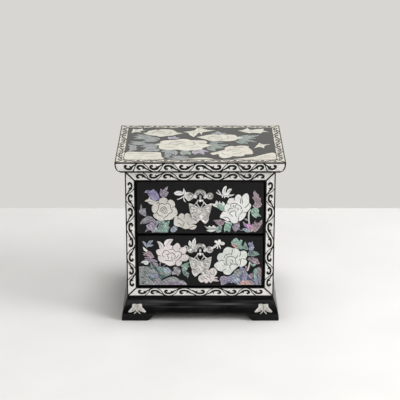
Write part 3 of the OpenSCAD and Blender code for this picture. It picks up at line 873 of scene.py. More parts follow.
upper.leaf("lilac", [(-33.4, -10.2), (-31.6, -11.2), (-32, -13), (-33.6, -16.6), (-36.2, -18.8, 0),
    (-37.4, -17.6), (-38.8, -18), (-41.8, -19.4, 0), (-40.2, -16.4), (-40.8, -14, 0), (-38.8, -12.6),
    (-36.6, -11.4)], [(-32.6, -11.4), (-36, -14.6), (-40.6, -18.6)],
    [(-33, -12.4), (-34.6, -15.6), (-36, -18)], [(-34.6, -12.6), (-37.4, -13.4), (-40, -13.8)])
upper.leaf("blue", [(-36.8, -19.4, 0), (-34.6, -17.8), (-32.8, -15), (-32.4, -16.6), (-33.6, -19),
    (-35, -19.5)])
upper.leaf("teal", [(-32.6, -10, 0), (-29, -9.6), (-26.4, -10.6), (-25.6, -13), (-26.6, -16.6),
    (-28.4, -19.5, 0), (-31, -19.5), (-34.4, -19.5, 0), (-33, -17.4), (-31.4, -14.6), (-31.4, -12)],
    [(-29.6, -10.6), (-30, -14), (-33.4, -19.4)], [(-28.6, -11), (-28.8, -15), (-29.4, -19.4)],
    [(-30.2, -13), (-28.6, -13.4), (-27, -12.6)], [(-31.4, -16.6), (-29.6, -16.8), (-28, -16)])
upper.leaf("green", [(-23, -10, 0), (-23.4, -12.6), (-24, -14.2), (-22.8, -15.6, 0), (-23.8, -17.2),
    (-24.6, -19.5, 0), (-28.2, -19.5), (-29.8, -19.5, 0), (-28.2, -17), (-27, -14.2), (-26.4, -12),
    (-25, -11)], [(-24.4, -11.6), (-25.6, -15), (-28.4, -19.4)], [(-24.8, -14), (-25, -17), (-24.9, -19)])
upper.leaf("blue", [(-19.8, -14.4, 0), (-17.4, -15.6), (-17.6, -17.6), (-19.4, -19.2), (-21.6, -19.5, 0),
    (-22.4, -18), (-21.8, -16)], [(-19.4, -15.4), (-20.4, -17.4), (-21.4, -19)])
upper.tell()

# %% Upper drawer, peonies and bee on the left
upper.bloom("cream", [(-19.7, -13.2), (-19.8, -10), (-19.2, -7.4), (-18, -6.4), (-16.4, -6.8, 0),
    (-15.7, -5.3), (-14.3, -4.3), (-12.7, -4.7), (-11.8, -6, 0), (-11, -4.6), (-9, -4.3), (-7.3, -5.7),
    (-6.2, -7.4), (-4.4, -9.6), (-3.4, -10.8), (-4.8, -12.4), (-8, -13.6, 0), (-5.2, -13.2),
    (-2.6, -14.4, 0), (-4, -16.6), (-6.6, -17.2), (-8.7, -16.4), (-11, -16.8), (-13, -16.1), (-14.7, -15.1),
    (-17, -14.8), (-18.7, -14.3)], [(-17.3, -9.3), (-16, -8.3), (-14.7, -9), (-13, -10.7), (-11.7, -11.7)],
    [(-11.7, -11.7), (-12.7, -13), (-13, -14.7)],
    [(-17.3, -12), (-15.7, -12.3), (-14.3, -13.7), (-13.3, -14.8)],
    [(-10, -11.2), (-9, -12.6), (-8, -13.6)], [(-11.8, -6), (-12.1, -7), (-11.9, -8.2)],
    [(-8.6, -6), (-7.4, -6.6), (-6.6, -7.8)], [(-8.6, -16.2), (-6, -15), (-3.6, -14.8)],
    [(-16.4, -6.8), (-16.9, -7.6), (-17, -8.6)], half=fine_cut_half)
upper.bloom("cream", [(-26.7, 8.3), (-25, 7.4), (-24, 6, 0), (-22.3, 6.6), (-20.2, 5.7), (-18.9, 3.4),
    (-19.2, 0.8, 0), (-17.9, -0.8), (-17.1, -3), (-17.6, -5.6), (-19.6, -7.2, 0), (-21.2, -8.8),
    (-23.4, -9.5), (-27, -9.7, 0), (-29.4, -10.1), (-31.4, -9.4), (-33.4, -8.4), (-34.8, -7), (-35.2, -5.3),
    (-34.3, -4.2, 0), (-35.7, -3), (-36.3, -0.6), (-35.8, 1.7), (-34.4, 2.8), (-32, 3.4), (-31.2, 4.8, 0),
    (-30.6, 6.7), (-29, 7.9)], [(-31.3, -0.7), (-31, 2), (-30, 3.3), (-28, 3.7), (-26.7, 2.7)],
    [(-26.7, 2.7), (-25.3, 3.7), (-23.3, 3.3), (-22.2, 1.7), (-22.3, 0)],
    [(-22.3, 0), (-21.2, -1.3), (-21, -2.7), (-22.3, -4), (-24, -4.3)],
    [(-24, -4.3), (-24.5, -6), (-26.5, -7.3), (-27.7, -8.8)],
    [(-31.3, -0.7), (-32.4, -2.6), (-31.8, -4.8), (-30.2, -6), (-28, -6.7)], [(-28.2, -3.8), (-29.3, -2.7),
    (-29.5, -1), (-28.7, 0.3), (-27, 1), (-25.7, 0), (-25, -1.7), (-24.8, -3.4)],
    [(-24.8, -3.4), (-26.3, -4.1), (-28.2, -3.8)],
    [(-28.4, -1.4), (-27.6, -0.5), (-26.5, -0.8), (-26.2, -1.8)],
    [(-28.6, -2.6), (-28.2, -2.2), (-28, -1.8)], [(-27.4, -3.2), (-27.3, -2.6), (-27.1, -2.2)],
    [(-26.2, -3), (-26.2, -2.5), (-26, -2.2)], [(-24, 6), (-24.4, 5.2), (-25.2, 4.6)],
    [(-19.2, 0.8), (-20.2, 0.9), (-21.2, 0.5)], [(-34.3, -4.2), (-33.6, -4.2), (-32.6, -3.6)],
    [(-31.2, 4.8), (-31, 4.2), (-30.3, 3.6)])
upper.leaf("white", [(-19.5, 11.8), (-17.6, 13.4), (-14.4, 13.3), (-12.2, 11.6), (-14.4, 10.1),
    (-17.8, 10.2)], [(-18.4, 11.7), (-15.6, 12), (-13, 11.6)])
upper.leaf("white", [(-12.3, 15.7, 0), (-11.2, 13.6), (-10, 11), (-12, 10.6), (-12.9, 13)],
    [(-12.1, 14.4), (-11.5, 11.4)])
upper.leaf("white", [(-11.6, 11.4), (-9.4, 12.6), (-6.6, 12), (-5.4, 9.6), (-6.6, 6.8), (-8.8, 5.6),
    (-10.4, 7), (-11.8, 9)], [(-10.8, 10.8), (-9.4, 9.2), (-9.2, 6.8)],
    [(-9.4, 11.8), (-8, 9.6), (-8, 6.8)])
upper.stem("white", 0.4, [(-12, 9.8), (-14.2, 8), (-17.3, 6.7)], [(-12.2, 9), (-12.2, 6.8), (-11, 4.8)])
upper.tell()

# %% Upper drawer, leaves on the right
upper.leaf("green", [(11.2, 2.6), (12.4, 3.6), (14.4, 4), (16.4, 3.6), (18.4, 3), (18.8, 0.4),
    (17.2, -2.6, 0), (15, -1.4), (13, -0.2), (11, 1.2)], [(11, 2.4), (14, 1), (17, -1.8)],
    [(14, 3.2), (16.2, 1.4), (17.8, -0.8)])
upper.leaf("white", [(8.5, 3.6, 0), (10, 3.4), (11.6, 3), (12.6, 0.8), (10.6, 1.2), (9.4, 2)])
upper.leaf("rose", [(11.2, 3.2), (11.8, 5.8, 0), (13, 5.2), (13.2, 3.4)])
upper.leaf("white", [(13.8, 3.6), (14.3, 5.6, 0), (15.2, 4), (14.6, 3)], [(14.3, 5), (14.5, 3.6)])
upper.leaf("white", [(16, 3.2), (16.7, 5.2, 0), (17.6, 4.2), (18.6, 3.4, 0), (17.4, 2)],
    [(16.8, 4.4), (17, 2.6)])
upper.leaf("pink", [(40.5, 14.2, 0), (42, 12), (43.8, 10.2), (43.6, 8.4), (45.2, 7.8, 0), (45.2, 5.4),
    (46.2, 2.8, 0), (44.6, 0.8), (42.4, 0), (40, 0.6), (39.2, 1.8, 0), (40.6, 4), (40, 6.4), (38.6, 8.4, 0),
    (39.8, 9.2), (39.6, 12)], [(42, 0.8), (42, 6), (40.8, 12.6)], [(42.2, 2), (43.6, 4.8), (44.8, 7)],
    [(42, 3.6), (40.6, 6.4), (39.2, 8)], [(42.2, 1.4), (44, 2.2), (45.6, 2.8)])
upper.leaf("green", [(38.2, -1.8, 0), (40, 0.2), (43.2, -0.2), (44, -2.6, 0), (43.6, -4), (45.8, -7, 0),
    (43.2, -6.6), (42, -8, 0), (39.8, -6.8), (38.4, -4.6)], [(38.8, -2.4), (41.4, -3.2), (45, -6.4)],
    [(39.4, -1.6), (41.4, -1), (43.4, -1.8)], [(39.2, -3.4), (40.4, -5.6), (41.6, -7.2)])
upper.stem("mint", 0.55, [(37.9, -1.2), (36.6, -3.4), (36.3, -7), (36.7, -12.4)])
upper.leaf("mist", [(32.8, -8.6, 0), (34.6, -8.6), (36.2, -10.2), (34.2, -10)])
upper.leaf("lilac", [(32, -10.8, 0), (33.8, -12.2), (35.6, -13.6), (35.4, -15.6), (33.2, -14.4),
    (32.4, -12.6)], [(32.6, -11.8), (33.8, -13.4), (35.2, -14.8)])
upper.leaf("magenta", [(34.6, -13.4), (37, -11.8, 0), (38.2, -14), (38.4, -17.4, 0), (36.6, -16.4),
    (34.4, -15.2)], [(37, -12.8), (36.8, -14.6), (37.8, -16.6)])
upper.leaf("blue", [(30.6, -18.2, 0), (32.4, -16.4), (35.2, -16.2), (37.4, -17.2), (38.2, -18.8),
    (35.2, -19.5), (33, -18.2)], [(32.4, -17.4), (35, -17.6), (37.4, -18.6)])
upper.leaf("coral", [(39.4, -12.4, 0), (39.8, -15), (39.6, -18), (38.2, -19.5, 0), (38.4, -17),
    (38.3, -14.4)])
upper.leaf("pink", [(40.7, -19.5, 0), (39.7, -17.4), (39.6, -14.4), (40.3, -11.8), (41.3, -9.9, 0),
    (42.6, -11.8), (44.3, -11.4), (46, -9.5, 0), (46.4, -10, 0), (46.4, -12.4), (45.3, -14.8),
    (43.3, -17.8)], [(40.8, -19), (41, -15), (41.2, -11)], [(41, -18.6), (43.4, -14.6), (46.2, -10.4)],
    [(42.4, -16.2), (42.8, -14), (42.4, -12.4)])
upper.leaf("mint", [(3.2, -14.2, 0), (5.2, -15.2), (7, -14, 0), (8.4, -15.1), (9.8, -13.6, 0), (12, -15.4),
    (12.6, -16.4), (9, -16.6), (5.6, -16.4), (4.4, -15.6)], [(4, -14.9), (8, -16), (12, -16)])
upper.leaf("mint", [(4.6, -18.2, 0), (6.4, -17.2), (9.6, -17.2), (12.8, -17.2, 0), (10.8, -18.4),
    (8, -19.2)])
upper.leaf("pink", [(9.7, -9.7, 0), (12.7, -9.5), (15.3, -9.2), (17.7, -10.8), (17.8, -12.7), (15, -14.4),
    (12.3, -13), (11.3, -11.3)], [(17, -12), (14.4, -11.6), (11, -10.2)],
    [(16, -13.2), (14.2, -12.4), (13, -12.4)])
upper.leaf("teal", [(12.6, -15.4), (14.4, -14.2), (16.4, -14.7), (16, -17.7), (14.7, -19.5),
    (11.5, -19.5, 0), (12.2, -18)], [(15.4, -15.2), (14, -17.4), (12.2, -19.5)])
upper.leaf("cream", [(17.4, -10.2, 0), (20.6, -10.8), (23.6, -12.2), (20.4, -12.4)])
upper.leaf("green", [(19, -12.2), (22, -11.6), (24, -12.7, 0), (23, -15.3), (22.4, -18.6), (21.4, -19.4, 0),
    (20, -17.8), (18.2, -19.4, 0), (17.9, -17.6), (18.2, -14.7)],
    [(22.4, -12.6), (21.4, -15.6), (21.4, -18.6)], [(21, -13.4), (19.6, -15.6), (18.6, -18.6)])
upper.leaf("lilac", [(29, -11.2, 0), (29.7, -13.4), (29.5, -16.2), (30.7, -18.1, 0), (28.4, -17.4),
    (26.3, -19.3, 0), (24.7, -17.3), (24, -14.7), (25.7, -13), (27.7, -12.4)],
    [(28.6, -12.2), (27.4, -15), (26.4, -18.4)], [(28.4, -14), (29.2, -16.2), (30.2, -17.6)])
upper.tell()

# %% Upper drawer, peony and butterfly on the right
upper.bloom("white", [(18.6, 2), (20, 3.8, 0), (20.7, 6), (21.7, 7.5), (23.4, 7.9), (25.7, 7.7, 0),
    (26.7, 9.7), (28.2, 10.7), (29.8, 10.2), (30.8, 8.6, 0), (31.8, 9.9), (33, 11.1), (34.7, 11.5),
    (36, 10.2), (36.4, 7.6), (36.5, 4.1, 0), (37.8, 2.8), (37.8, 0.8), (36.3, -1.6), (34.3, -3.7, 0),
    (34.1, -5.7), (32.2, -8.6), (30, -10.3), (28.6, -10, 0), (27.7, -11.7), (25.7, -12.3), (23.7, -11.7),
    (22.4, -9.7, 0), (21.3, -10.4), (19.7, -10.2), (17.7, -8.8), (15, -7.8), (14.8, -6.7), (16, -4.3),
    (17.3, -2.6, 0), (18.3, -1), (18.1, 0.6)], [(30.8, 8.6), (31.3, 6.4), (31.5, 3.4)],
    [(30, 7.4), (30.1, 5.4), (30, 3.4)], [(33, 0.3), (34.8, 1.4), (36.5, 4)],
    [(23, 0.7), (22.6, 2.6), (24, 3.7), (26.7, 3.7), (28.3, 2.7)],
    [(28.3, 2.7), (30.3, 1.3), (31, -0.3), (29.7, -0.8)], [(26.3, -0.3), (26, 1.3), (27.3, 3)],
    [(20.7, -2.7), (21.6, -0.8), (23.3, 0), (24.4, -0.4)],
    [(24.7, -6.7), (22.1, -4.7), (23, -3), (25.3, -2.3), (26.7, -2.8)],
    [(26.7, -2.8), (26.6, -5.6), (27.3, -7.3)], [(29.3, -5.7), (31, -3.4), (31.7, -1.3)],
    [(28.5, -10.2), (28.6, -8.4), (29.1, -6.6)], [(25.7, 7.7), (25.6, 7), (25.1, 6)],
    [(20, 3.8), (20.6, 3.6), (21.3, 3)], [(34.3, -3.7), (33.6, -3.6), (32.5, -3.1)],
    [(17.3, -2.6), (18, -2.7), (19.1, -2.4)], [(17.4, -7.4), (20, -7.4), (22.4, -9.5)],
    [(25.4, 0.6), (24.6, 1.4), (24.8, 2.4)], [(28, -2), (28.4, -0.8), (27.6, 0.4)])
upper.leaf("white", [(16.3, 12), (16.7, 14.7), (18, 17), (19.5, 17.4, 0), (19.5, 15.7), (18.9, 13.4),
    (20, 11), (18, 10.6)], [(17.6, 12), (18, 14.4), (19, 16.6)], [(18.6, 11.6), (18.4, 13.4)])
upper.leaf("white", [(20.2, 14), (21.7, 15.3), (23.6, 15.1, 0), (22.6, 13.3), (21.2, 11), (19.6, 10.8)],
    [(20.6, 12), (21.4, 13.4), (22.8, 14.6)])
upper.leaf("white", [(13.4, 11.6, 0), (15.6, 11), (18.6, 10.6), (22, 10.7), (25.6, 10.9, 0), (24.4, 9.9),
    (22, 9.2), (19.6, 8.8), (17, 9.4), (14.6, 10.4)], [(15, 10.8), (19, 9.8), (24, 10.4)])
upper.stem("white", 0.36, [(15.2, 11.2), (14.2, 12.8), (13.1, 14.3)],
    [(14.8, 10.6), (13.2, 11.4), (11.9, 12.4)], [(16.6, 9.8), (16.5, 9), (16.4, 8.2)],
    [(18.2, 9.4), (18.1, 8.8), (18, 8)], [(20.6, 9.4), (20.7, 8.8), (20.8, 8.1)])
face_y = edge_of("upper_drawer_front", 0, 1)
upper_low, upper_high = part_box("upper_drawer_front")
upper.set((0, face_y, 500 * (upper_low[2] + upper_high[2])), (90, 0, 0), "upper_drawer")

# %% [markdown]
# ## Picture on the lower drawer
# Two large peonies grow from banded rocks at both corners. Rocks are plates of abalone whose layers are cut
# as wavy lines.

# %% Lower drawer, leaves on the left
lower = Picture("lower_picture")
lower.leaf("blue", [(-43.7, 16.3, 0), (-42, 15.8), (-40.6, 13.8), (-39.8, 12), (-40.4, 11.2), (-41.8, 12.6),
    (-43, 14.4)], [(-42.8, 15.2), (-41.4, 13.6), (-40.4, 12)])
lower.leaf("blue", [(-35.7, 16.9, 0), (-38, 16.8), (-39.4, 15.4), (-40, 13.6), (-38.4, 14), (-36.4, 15.2)],
    [(-36.6, 16.4), (-38.2, 15.4), (-39.6, 14)])
lower.leaf("blue", [(-35.3, 13.4, 0), (-38.4, 13.9), (-40, 13.2), (-39.6, 12), (-38.6, 11.8),
    (-36.4, 12.2)])
lower.leaf("mint", [(-43.4, 11.8, 0), (-41.6, 10.4), (-39.8, 8.6), (-40.6, 7.8), (-42.6, 8.8)])
lower.leaf("pink", [(-44.4, 7.6, 0), (-42, 7), (-40, 8.4), (-37.4, 7.4), (-35.8, 5.2), (-35, 2.8, 0),
    (-37.4, 3.2), (-39.4, 4), (-42, 4.6), (-43.6, 5.4, 0), (-42.6, 6.2)],
    [(-36, 4), (-38.6, 5.6), (-42.6, 5.6)], [(-37, 5.4), (-38, 6.4), (-39.4, 7.2)])
lower.leaf("pink", [(-42.6, 3.2, 0), (-39.4, 3.6), (-36, 2.6), (-39, 1.9), (-41.6, 2.4)])
lower.leaf("lilac", [(-42.6, 1.4, 0), (-39.6, 1.8), (-36, 1.6), (-33.4, 0.8), (-32.6, -0.8), (-36, -0.9),
    (-39, -1), (-41, 0.2)], [(-33.4, 0), (-37, 0.4), (-41, 0.9)])
lower.leaf("mint", [(-45, -1.4, 0), (-43.6, 0.2), (-41, 0.2), (-39.4, -0.9), (-39.8, -2.6), (-42, -2.8),
    (-43, -1.8)], [(-40, -1.8), (-42, -1.2), (-44, -1)])
lower.leaf("mist", [(-37.8, -1.5), (-35, -1.2), (-32.4, -2.2), (-31.6, -4.4, 0), (-33, -4.6), (-35, -3)],
    [(-36.6, -1.8), (-34.4, -2.4), (-32.4, -3.8)])
lower.leaf("green", [(-8, -0.6, 0), (-10, -1.2), (-12.6, -2.4), (-14.8, -4), (-13, -5), (-11, -4.4),
    (-9.2, -2.4)], [(-8.8, -1.2), (-11, -2.8), (-13.6, -4.2)])
lower.leaf("green", [(-14, -5.8), (-11.6, -4.8), (-9, -3.4), (-8.2, -4.4, 0), (-9.6, -5.4), (-10, -7),
    (-12, -7.6)], [(-13, -6), (-11, -5.4), (-9, -4.4)])
lower.leaf("teal", [(-14.2, -6.4, 0), (-12, -7), (-10.6, -8.4), (-8.2, -10.2, 0), (-8.6, -11.4),
    (-9.6, -14.2, 0), (-10.6, -12.4), (-12.4, -11.6), (-13.4, -9)],
    [(-13, -7.6), (-11.2, -10), (-9.8, -13.2)], [(-11.8, -9), (-10.4, -9.8), (-8.8, -10.4)])
lower.leaf("rose", [(-32.6, 16.2, 0), (-30.4, 15.8), (-28.4, 14), (-27.6, 12), (-28.8, 10.2), (-30.6, 10.4),
    (-31.2, 13)], [(-31.6, 15.2), (-29.8, 13), (-29, 11)])
lower.leaf("rose", [(-20.4, 17.8, 0), (-22.6, 18.1), (-25.2, 17.6), (-26.8, 16), (-27.4, 13.8), (-26, 12.4),
    (-23, 13.6), (-21.8, 15.4)], [(-21.4, 17.4), (-23.6, 16), (-25.4, 13)])
lower.stem("mist", 0.4, [(-37.6, -1.8), (-36.4, -5), (-33.8, -8.4), (-31.6, -11)],
    [(-32.4, -13.6), (-30.6, -15.2), (-29.6, -17.4)])
lower.stem("mist", 0.34, [(-30.2, -1), (-30.6, -2.4), (-30.4, -4)],
    [(-28.4, -4.8), (-27.2, -3.4), (-25.6, -2.6)])
lower.tell()

# %% Lower drawer, rocks on the left
rock_bed = 0.02
lower.plate("deep", [(-46.4, -4.4, 0), (-40, -4.2), (-36.4, -2.4), (-31.8, -4), (-27, -4.8), (-22.8, -6.6),
    (-21.6, -9.6), (-23.4, -11.8), (-27, -13.2), (-29.6, -15.4), (-29.4, -19.5, 0), (-46.4, -19.5, 0)],
    rock_bed)
lower.leaf("rock", [(-46.4, -4.6, 0), (-44, -4.2), (-40.6, -4.6), (-38.4, -5.8), (-37.8, -7.2),
    (-37.8, -9.4), (-38.4, -12.2), (-41, -12.7), (-46.4, -12.8, 0)],
    [(-46.2, -6.4), (-42, -6), (-38.4, -7)], [(-46.2, -8.6), (-43, -8.2), (-38.2, -9.2)],
    [(-44.4, -10), (-41, -10.4), (-38.6, -10.6)], [(-46.2, -11.6), (-44, -11), (-41, -11.8)])
lower.leaf("pink", [(-46.4, -5, 0), (-45.6, -6.4), (-45.6, -9.6), (-46.4, -10.6, 0)])
lower.leaf("rock", [(-37.4, -7.4), (-35.4, -6.6), (-33.6, -8.4), (-32.4, -10), (-34.6, -9.9),
    (-37.4, -9.9)], [(-36.8, -8.4), (-35, -8.4), (-33.4, -9.4)])
lower.leaf("dusk", [(-37.6, -10.6), (-34.6, -10.4), (-32.4, -10.8), (-31.9, -12.6), (-33.4, -14),
    (-36.8, -13.7), (-37.9, -12.4)], [(-36.8, -11.8), (-34.4, -11.6), (-32.6, -12.2)])
lower.leaf("teal", [(-32.6, -5.4), (-30, -4.6), (-27.8, -6), (-27.2, -8), (-30.6, -8.6), (-32.4, -7.2)],
    [(-31.6, -6.2), (-29.6, -6), (-28, -7.4)])
lower.leaf("blue", [(-27.8, -5.4), (-25, -5), (-23.2, -7), (-22, -9), (-25, -9.6), (-27.6, -8.9),
    (-28.2, -7)], [(-27, -6.4), (-25.2, -6.2), (-23.4, -8)])
lower.leaf("rock", [(-31.6, -8.9, 0), (-29, -8.9), (-26, -9.9), (-22.6, -9.4), (-22.6, -10.6),
    (-25, -12, 0), (-28, -11.5), (-30.4, -10.6)], [(-30.4, -9.6), (-27.4, -10.4), (-24, -10.6)])
lower.leaf("mist", [(-20.6, -5.4), (-18.4, -4.6), (-15.6, -6.2), (-14.8, -8.4), (-15.8, -10.6),
    (-17, -12.2, 0), (-18.6, -10.8), (-21.4, -11.4, 0), (-21.8, -9.2), (-20, -7.4)],
    [(-18.4, -5.4), (-17.4, -8), (-17, -11.4)], [(-19.6, -6.4), (-19.2, -8.6), (-20.8, -10.6)])
lower.leaf("rock", [(-46.4, -13.6, 0), (-44, -13.8), (-40.6, -13.2), (-38.4, -14.2), (-37, -16),
    (-36.8, -19.5, 0), (-46.4, -19.5, 0)],
    [(-45.6, -19), (-44.4, -15.8), (-41.4, -15), (-39.8, -17), (-39.4, -19.5)],
    [(-43.8, -19.4), (-43.2, -17.4), (-42, -16.8), (-41.2, -18.6)],
    [(-46.4, -15), (-45.4, -14.8), (-43.6, -14.4)])
lower.leaf("mist", [(-36.7, -16.6), (-35.4, -15), (-33, -14.6), (-30.8, -16), (-29.8, -18.6),
    (-30, -19.5, 0), (-36.4, -19.5, 0)],
    [(-36, -19.5), (-35.4, -17), (-33, -15.8), (-31.2, -17.6), (-30.8, -19.5)],
    [(-34.2, -19.5), (-33.8, -17.6), (-32.6, -17.4), (-32, -19.5)])
lower.leaf("rock", [(-29.4, -16.4), (-27, -14.8), (-24, -13.4), (-20.4, -12.9), (-17.6, -14),
    (-15.8, -15.4), (-13, -16.2), (-11.4, -17.6), (-10, -19.5, 0), (-29.4, -19.5, 0)],
    [(-29, -17.2), (-25, -15.2), (-20, -14.4), (-16, -16), (-12.4, -17)])
lower.leaf("lilac", [(-29, -19.4, 0), (-28, -17.8), (-24, -16.6), (-19, -16.2), (-15, -17), (-12.2, -18),
    (-10.8, -19.4, 0)], [(-28, -18.8), (-23, -17.6), (-17, -17.6), (-12.6, -18.8)],
    [(-25, -19), (-22, -18.8), (-19.4, -19.4)])
lower.tell()

# %% Lower drawer, peony and insect on the left
lower.bloom("rose", [(-33.5, 8.2), (-32.2, 9.6), (-30.2, 9.8), (-28.4, 10.4, 0), (-27.2, 11.8),
    (-25.4, 13.2), (-22.8, 13.2), (-20.6, 12, 0), (-19.6, 13.2), (-17.4, 14.8), (-15.8, 13.8),
    (-14.7, 10.9, 0), (-13, 11.4), (-10.9, 11.2), (-10.2, 9.2), (-11, 7), (-12, 5.7, 0), (-10.3, 5.3),
    (-8.6, 4), (-9, 1.6), (-10.8, 0.1), (-14, 0, 0), (-13.9, -1.4), (-15, -3.3), (-17, -4),
    (-18.9, -2.4, 0), (-20, -3.2), (-22.8, -3.8), (-25, -3.1), (-26.9, -1.7), (-29.4, -1), (-31.3, 0.3),
    (-32.1, 3), (-31.8, 4.6, 0), (-32.8, 6)],
    [(-27.9, 3.2), (-28.6, 5.6), (-27.6, 8), (-25.6, 9), (-24, 8), (-23.4, 6.6)],
    [(-23.4, 6.6), (-24.6, 5.2), (-25.6, 5.8)], [(-25, 4.4), (-24.2, 3), (-24.4, 1.4)],
    [(-23, 6.2), (-21.4, 7), (-19.6, 5.6), (-19, 3.6), (-20.2, 1)],
    [(-21.8, 3.6), (-21.6, 2.2), (-20.8, 0.8)],
    [(-18.6, 7.4), (-16.4, 8.2), (-14.6, 7.2), (-14.2, 5), (-15.6, 2.6), (-18, 0.6), (-19.6, 0.2)],
    [(-16.2, 5.4), (-17.4, 3.6), (-18.8, 1.8)], [(-23.6, 9.6), (-21, 9.8), (-19.4, 8.6), (-18.6, 7.4)],
    [(-27, 0.8), (-24, 0.4), (-20.4, 0.2)], [(-20.6, 12), (-20.9, 11.2), (-20.6, 10.2)],
    [(-14.7, 10.9), (-15.4, 10.4), (-15.9, 9.6)], [(-12, 5.7), (-13, 5.7), (-14, 5.2)],
    [(-14, 0), (-14.8, 0.3), (-15.8, 0.3)], [(-18.9, -2.4), (-18.7, -1.6), (-18.9, -0.6)],
    [(-31.8, 4.6), (-30.8, 4.6), (-30, 4)])
lower.leaf("white", [(-8.1, 17, 0), (-7, 15.6), (-6.7, 13), (-8.2, 12.4), (-9, 14.6)],
    [(-8, 15.8), (-7.6, 13.2)])
lower.leaf("white", [(-4, 19, 0), (-3.3, 16), (-3.8, 12.6), (-5.8, 12.2), (-6.6, 14), (-6, 16.4)],
    [(-4.2, 17.8), (-4.8, 13)], [(-5.6, 16.2), (-5.4, 13)])
lower.leaf("white", [(-10, 10.4), (-8.4, 12), (-5.6, 12.6), (-3.4, 12.2), (-3, 9.6), (-6, 8), (-9, 8.6)],
    [(-8.4, 11.4), (-7, 9)])
lower.stem("white", 0.34, [(-9.6, 10.6), (-10, 12), (-11.2, 12.3), (-12, 11.4), (-11.2, 10.6)])
lower.tell()

# %% Lower drawer, leaves on the right
lower.leaf("green", [(23.4, 15.6), (24.8, 17.4), (26.7, 19, 0), (28.4, 18), (29.3, 16, 0), (30.3, 17.4),
    (31.8, 17, 0), (31.6, 14.8), (30.8, 13.6, 0), (32.4, 12), (33.2, 10.2, 0), (30.6, 9.6), (28.6, 10.6),
    (26.6, 11), (24.8, 12), (23.6, 13.8)], [(31, 10.6), (28.4, 13.6), (26.6, 18)],
    [(30, 11.8), (30.8, 14), (31.4, 16.4)], [(29.6, 12), (27, 13), (24.6, 15)])
lower.leaf("coral", [(23.6, 14), (25.4, 14.6), (27.6, 13.4), (29, 11.2), (26.8, 10.8), (24.9, 11.9)],
    [(24.8, 13.4), (26.6, 12.6), (28, 11.6)])
lower.leaf("teal", [(34, 16, 0), (35.2, 13.4), (36, 11), (36, 9.6), (34, 9.4), (32.6, 11.8), (33, 13.8)],
    [(34, 14.8), (34.4, 12.4), (34.8, 10.2)])
lower.leaf("dusk", [(36.2, 14.2), (37.2, 15.6, 0), (38.4, 14.6), (39.2, 16.2, 0), (39.8, 13.8),
    (40.8, 11.4), (40, 9.4), (38, 8.6), (36.6, 9.4), (37, 12)], [(38.2, 9.4), (38.2, 12), (39, 15)],
    [(37.6, 10), (37.2, 13), (37.1, 14.6)])
lower.leaf("teal", [(36, 6.4), (37.4, 8.2), (40, 8.5), (42.6, 7.6), (45.2, 5.5, 0), (42.6, 4.6), (40, 3.9),
    (37.6, 4.2), (36.2, 4.8)], [(36.8, 6), (40, 6.4), (44, 5.6)], [(38.4, 6.4), (40.4, 7.4), (41.8, 7.4)],
    [(38.4, 5.8), (40, 4.9), (41.6, 4.8)])
lower.leaf("pink", [(35.8, 1.8, 0), (37.4, 3.2), (40.4, 2.8), (43.4, 2), (44.2, 0), (45.4, -1.8, 0),
    (42.6, -2.6), (40.4, -1.8), (38.4, -0.2), (36.8, 0.6)], [(36.8, 1.6), (40.4, 0.8), (44.4, -1.4)],
    [(38.6, 1.6), (40.6, 2.2), (42.8, 1.6)])
lower.leaf("green", [(38.2, -1), (39.6, -2.2), (42, -2.8), (40.8, -4.4, 0), (39.2, -3.8), (38.2, -2.4)],
    [(38.8, -2), (40, -3), (40.8, -3.8)])
lower.leaf("pink", [(34.2, -3.6, 0), (35.4, -4.6), (36, -7), (35.4, -8.2), (34.2, -6)])
lower.stem("rose", 0.6, [(37.6, -0.6), (37.2, -3), (36.6, -5.6), (35.9, -8)])
lower.tell()

# %% Lower drawer, rocks on the right
lower.plate("night", [(15.4, -15.4), (16.4, -13), (19, -12.6), (23.6, -12), (26, -8.6), (29, -6.8),
    (30.6, -5.4), (33, -5.8), (35.4, -8.8), (37.2, -11.6), (39, -10.6), (41, -7), (44.6, -5.2),
    (46.4, -6.6), (46.4, -19.5, 0), (31, -19.5), (28, -19.4), (24, -17.6), (17.4, -19.5), (16, -17)],
    rock_bed)
lower.leaf("lilac", [(14.8, -15), (16, -12.8), (18.4, -12.2), (20.2, -13.4), (20.3, -15.6), (19.4, -18.4),
    (17.4, -19.5), (16, -19.5), (15.6, -17)], [(15.8, -14.6), (17.6, -13.8), (18.8, -15.4), (18.2, -18.4)],
    [(16.8, -15.8), (17.4, -17.4), (17, -19.4)])
lower.leaf("dusk", [(20.5, -14.6), (21.4, -12.8), (23.6, -11.6), (25.4, -10.4, 0), (27, -12.2), (30, -14.6),
    (31, -16.2), (29.4, -17.6), (25.6, -17.4), (23.4, -17.9), (22.4, -16.6), (21, -17.6)],
    [(21.4, -15.4), (23, -13.4), (25.4, -12.4)], [(22.4, -15.8), (24, -14.6), (23.6, -17)])
lower.leaf("blue", [(24.6, -13), (26.4, -12.8), (28.6, -14.6), (29.4, -16.4), (27, -16.9), (25.2, -16.6),
    (24.2, -15)], [(25.2, -14), (27, -14.4), (28.4, -16)])
lower.leaf("rock", [(26.4, -7.8), (28.6, -6.6), (30.8, -7.6), (31.9, -9.8), (31, -11.4), (29.4, -13),
    (27.2, -11.9), (25.9, -9.8)], [(27, -9.8), (28.8, -8.4), (30.6, -9.6)],
    [(28, -11.4), (29, -10.2), (30.2, -11)])
lower.leaf("dusk", [(30, -5), (32.4, -5.4), (34.2, -6.8), (35.2, -9.4), (35.8, -12.6), (35, -15.3),
    (32.6, -15.4), (31.8, -13.2), (32.8, -10.6), (31.4, -7.4)], [(31.4, -6.2), (33.6, -8.4), (34.4, -14)],
    [(33, -7), (34.4, -10), (34.8, -12.4)])
lower.leaf("pink", [(37.2, -11.4), (38.6, -10), (40.2, -10.4), (40.3, -13), (39, -14.6), (37.4, -13.4)],
    [(38, -11.8), (39.2, -11.4), (39.4, -13.4)])
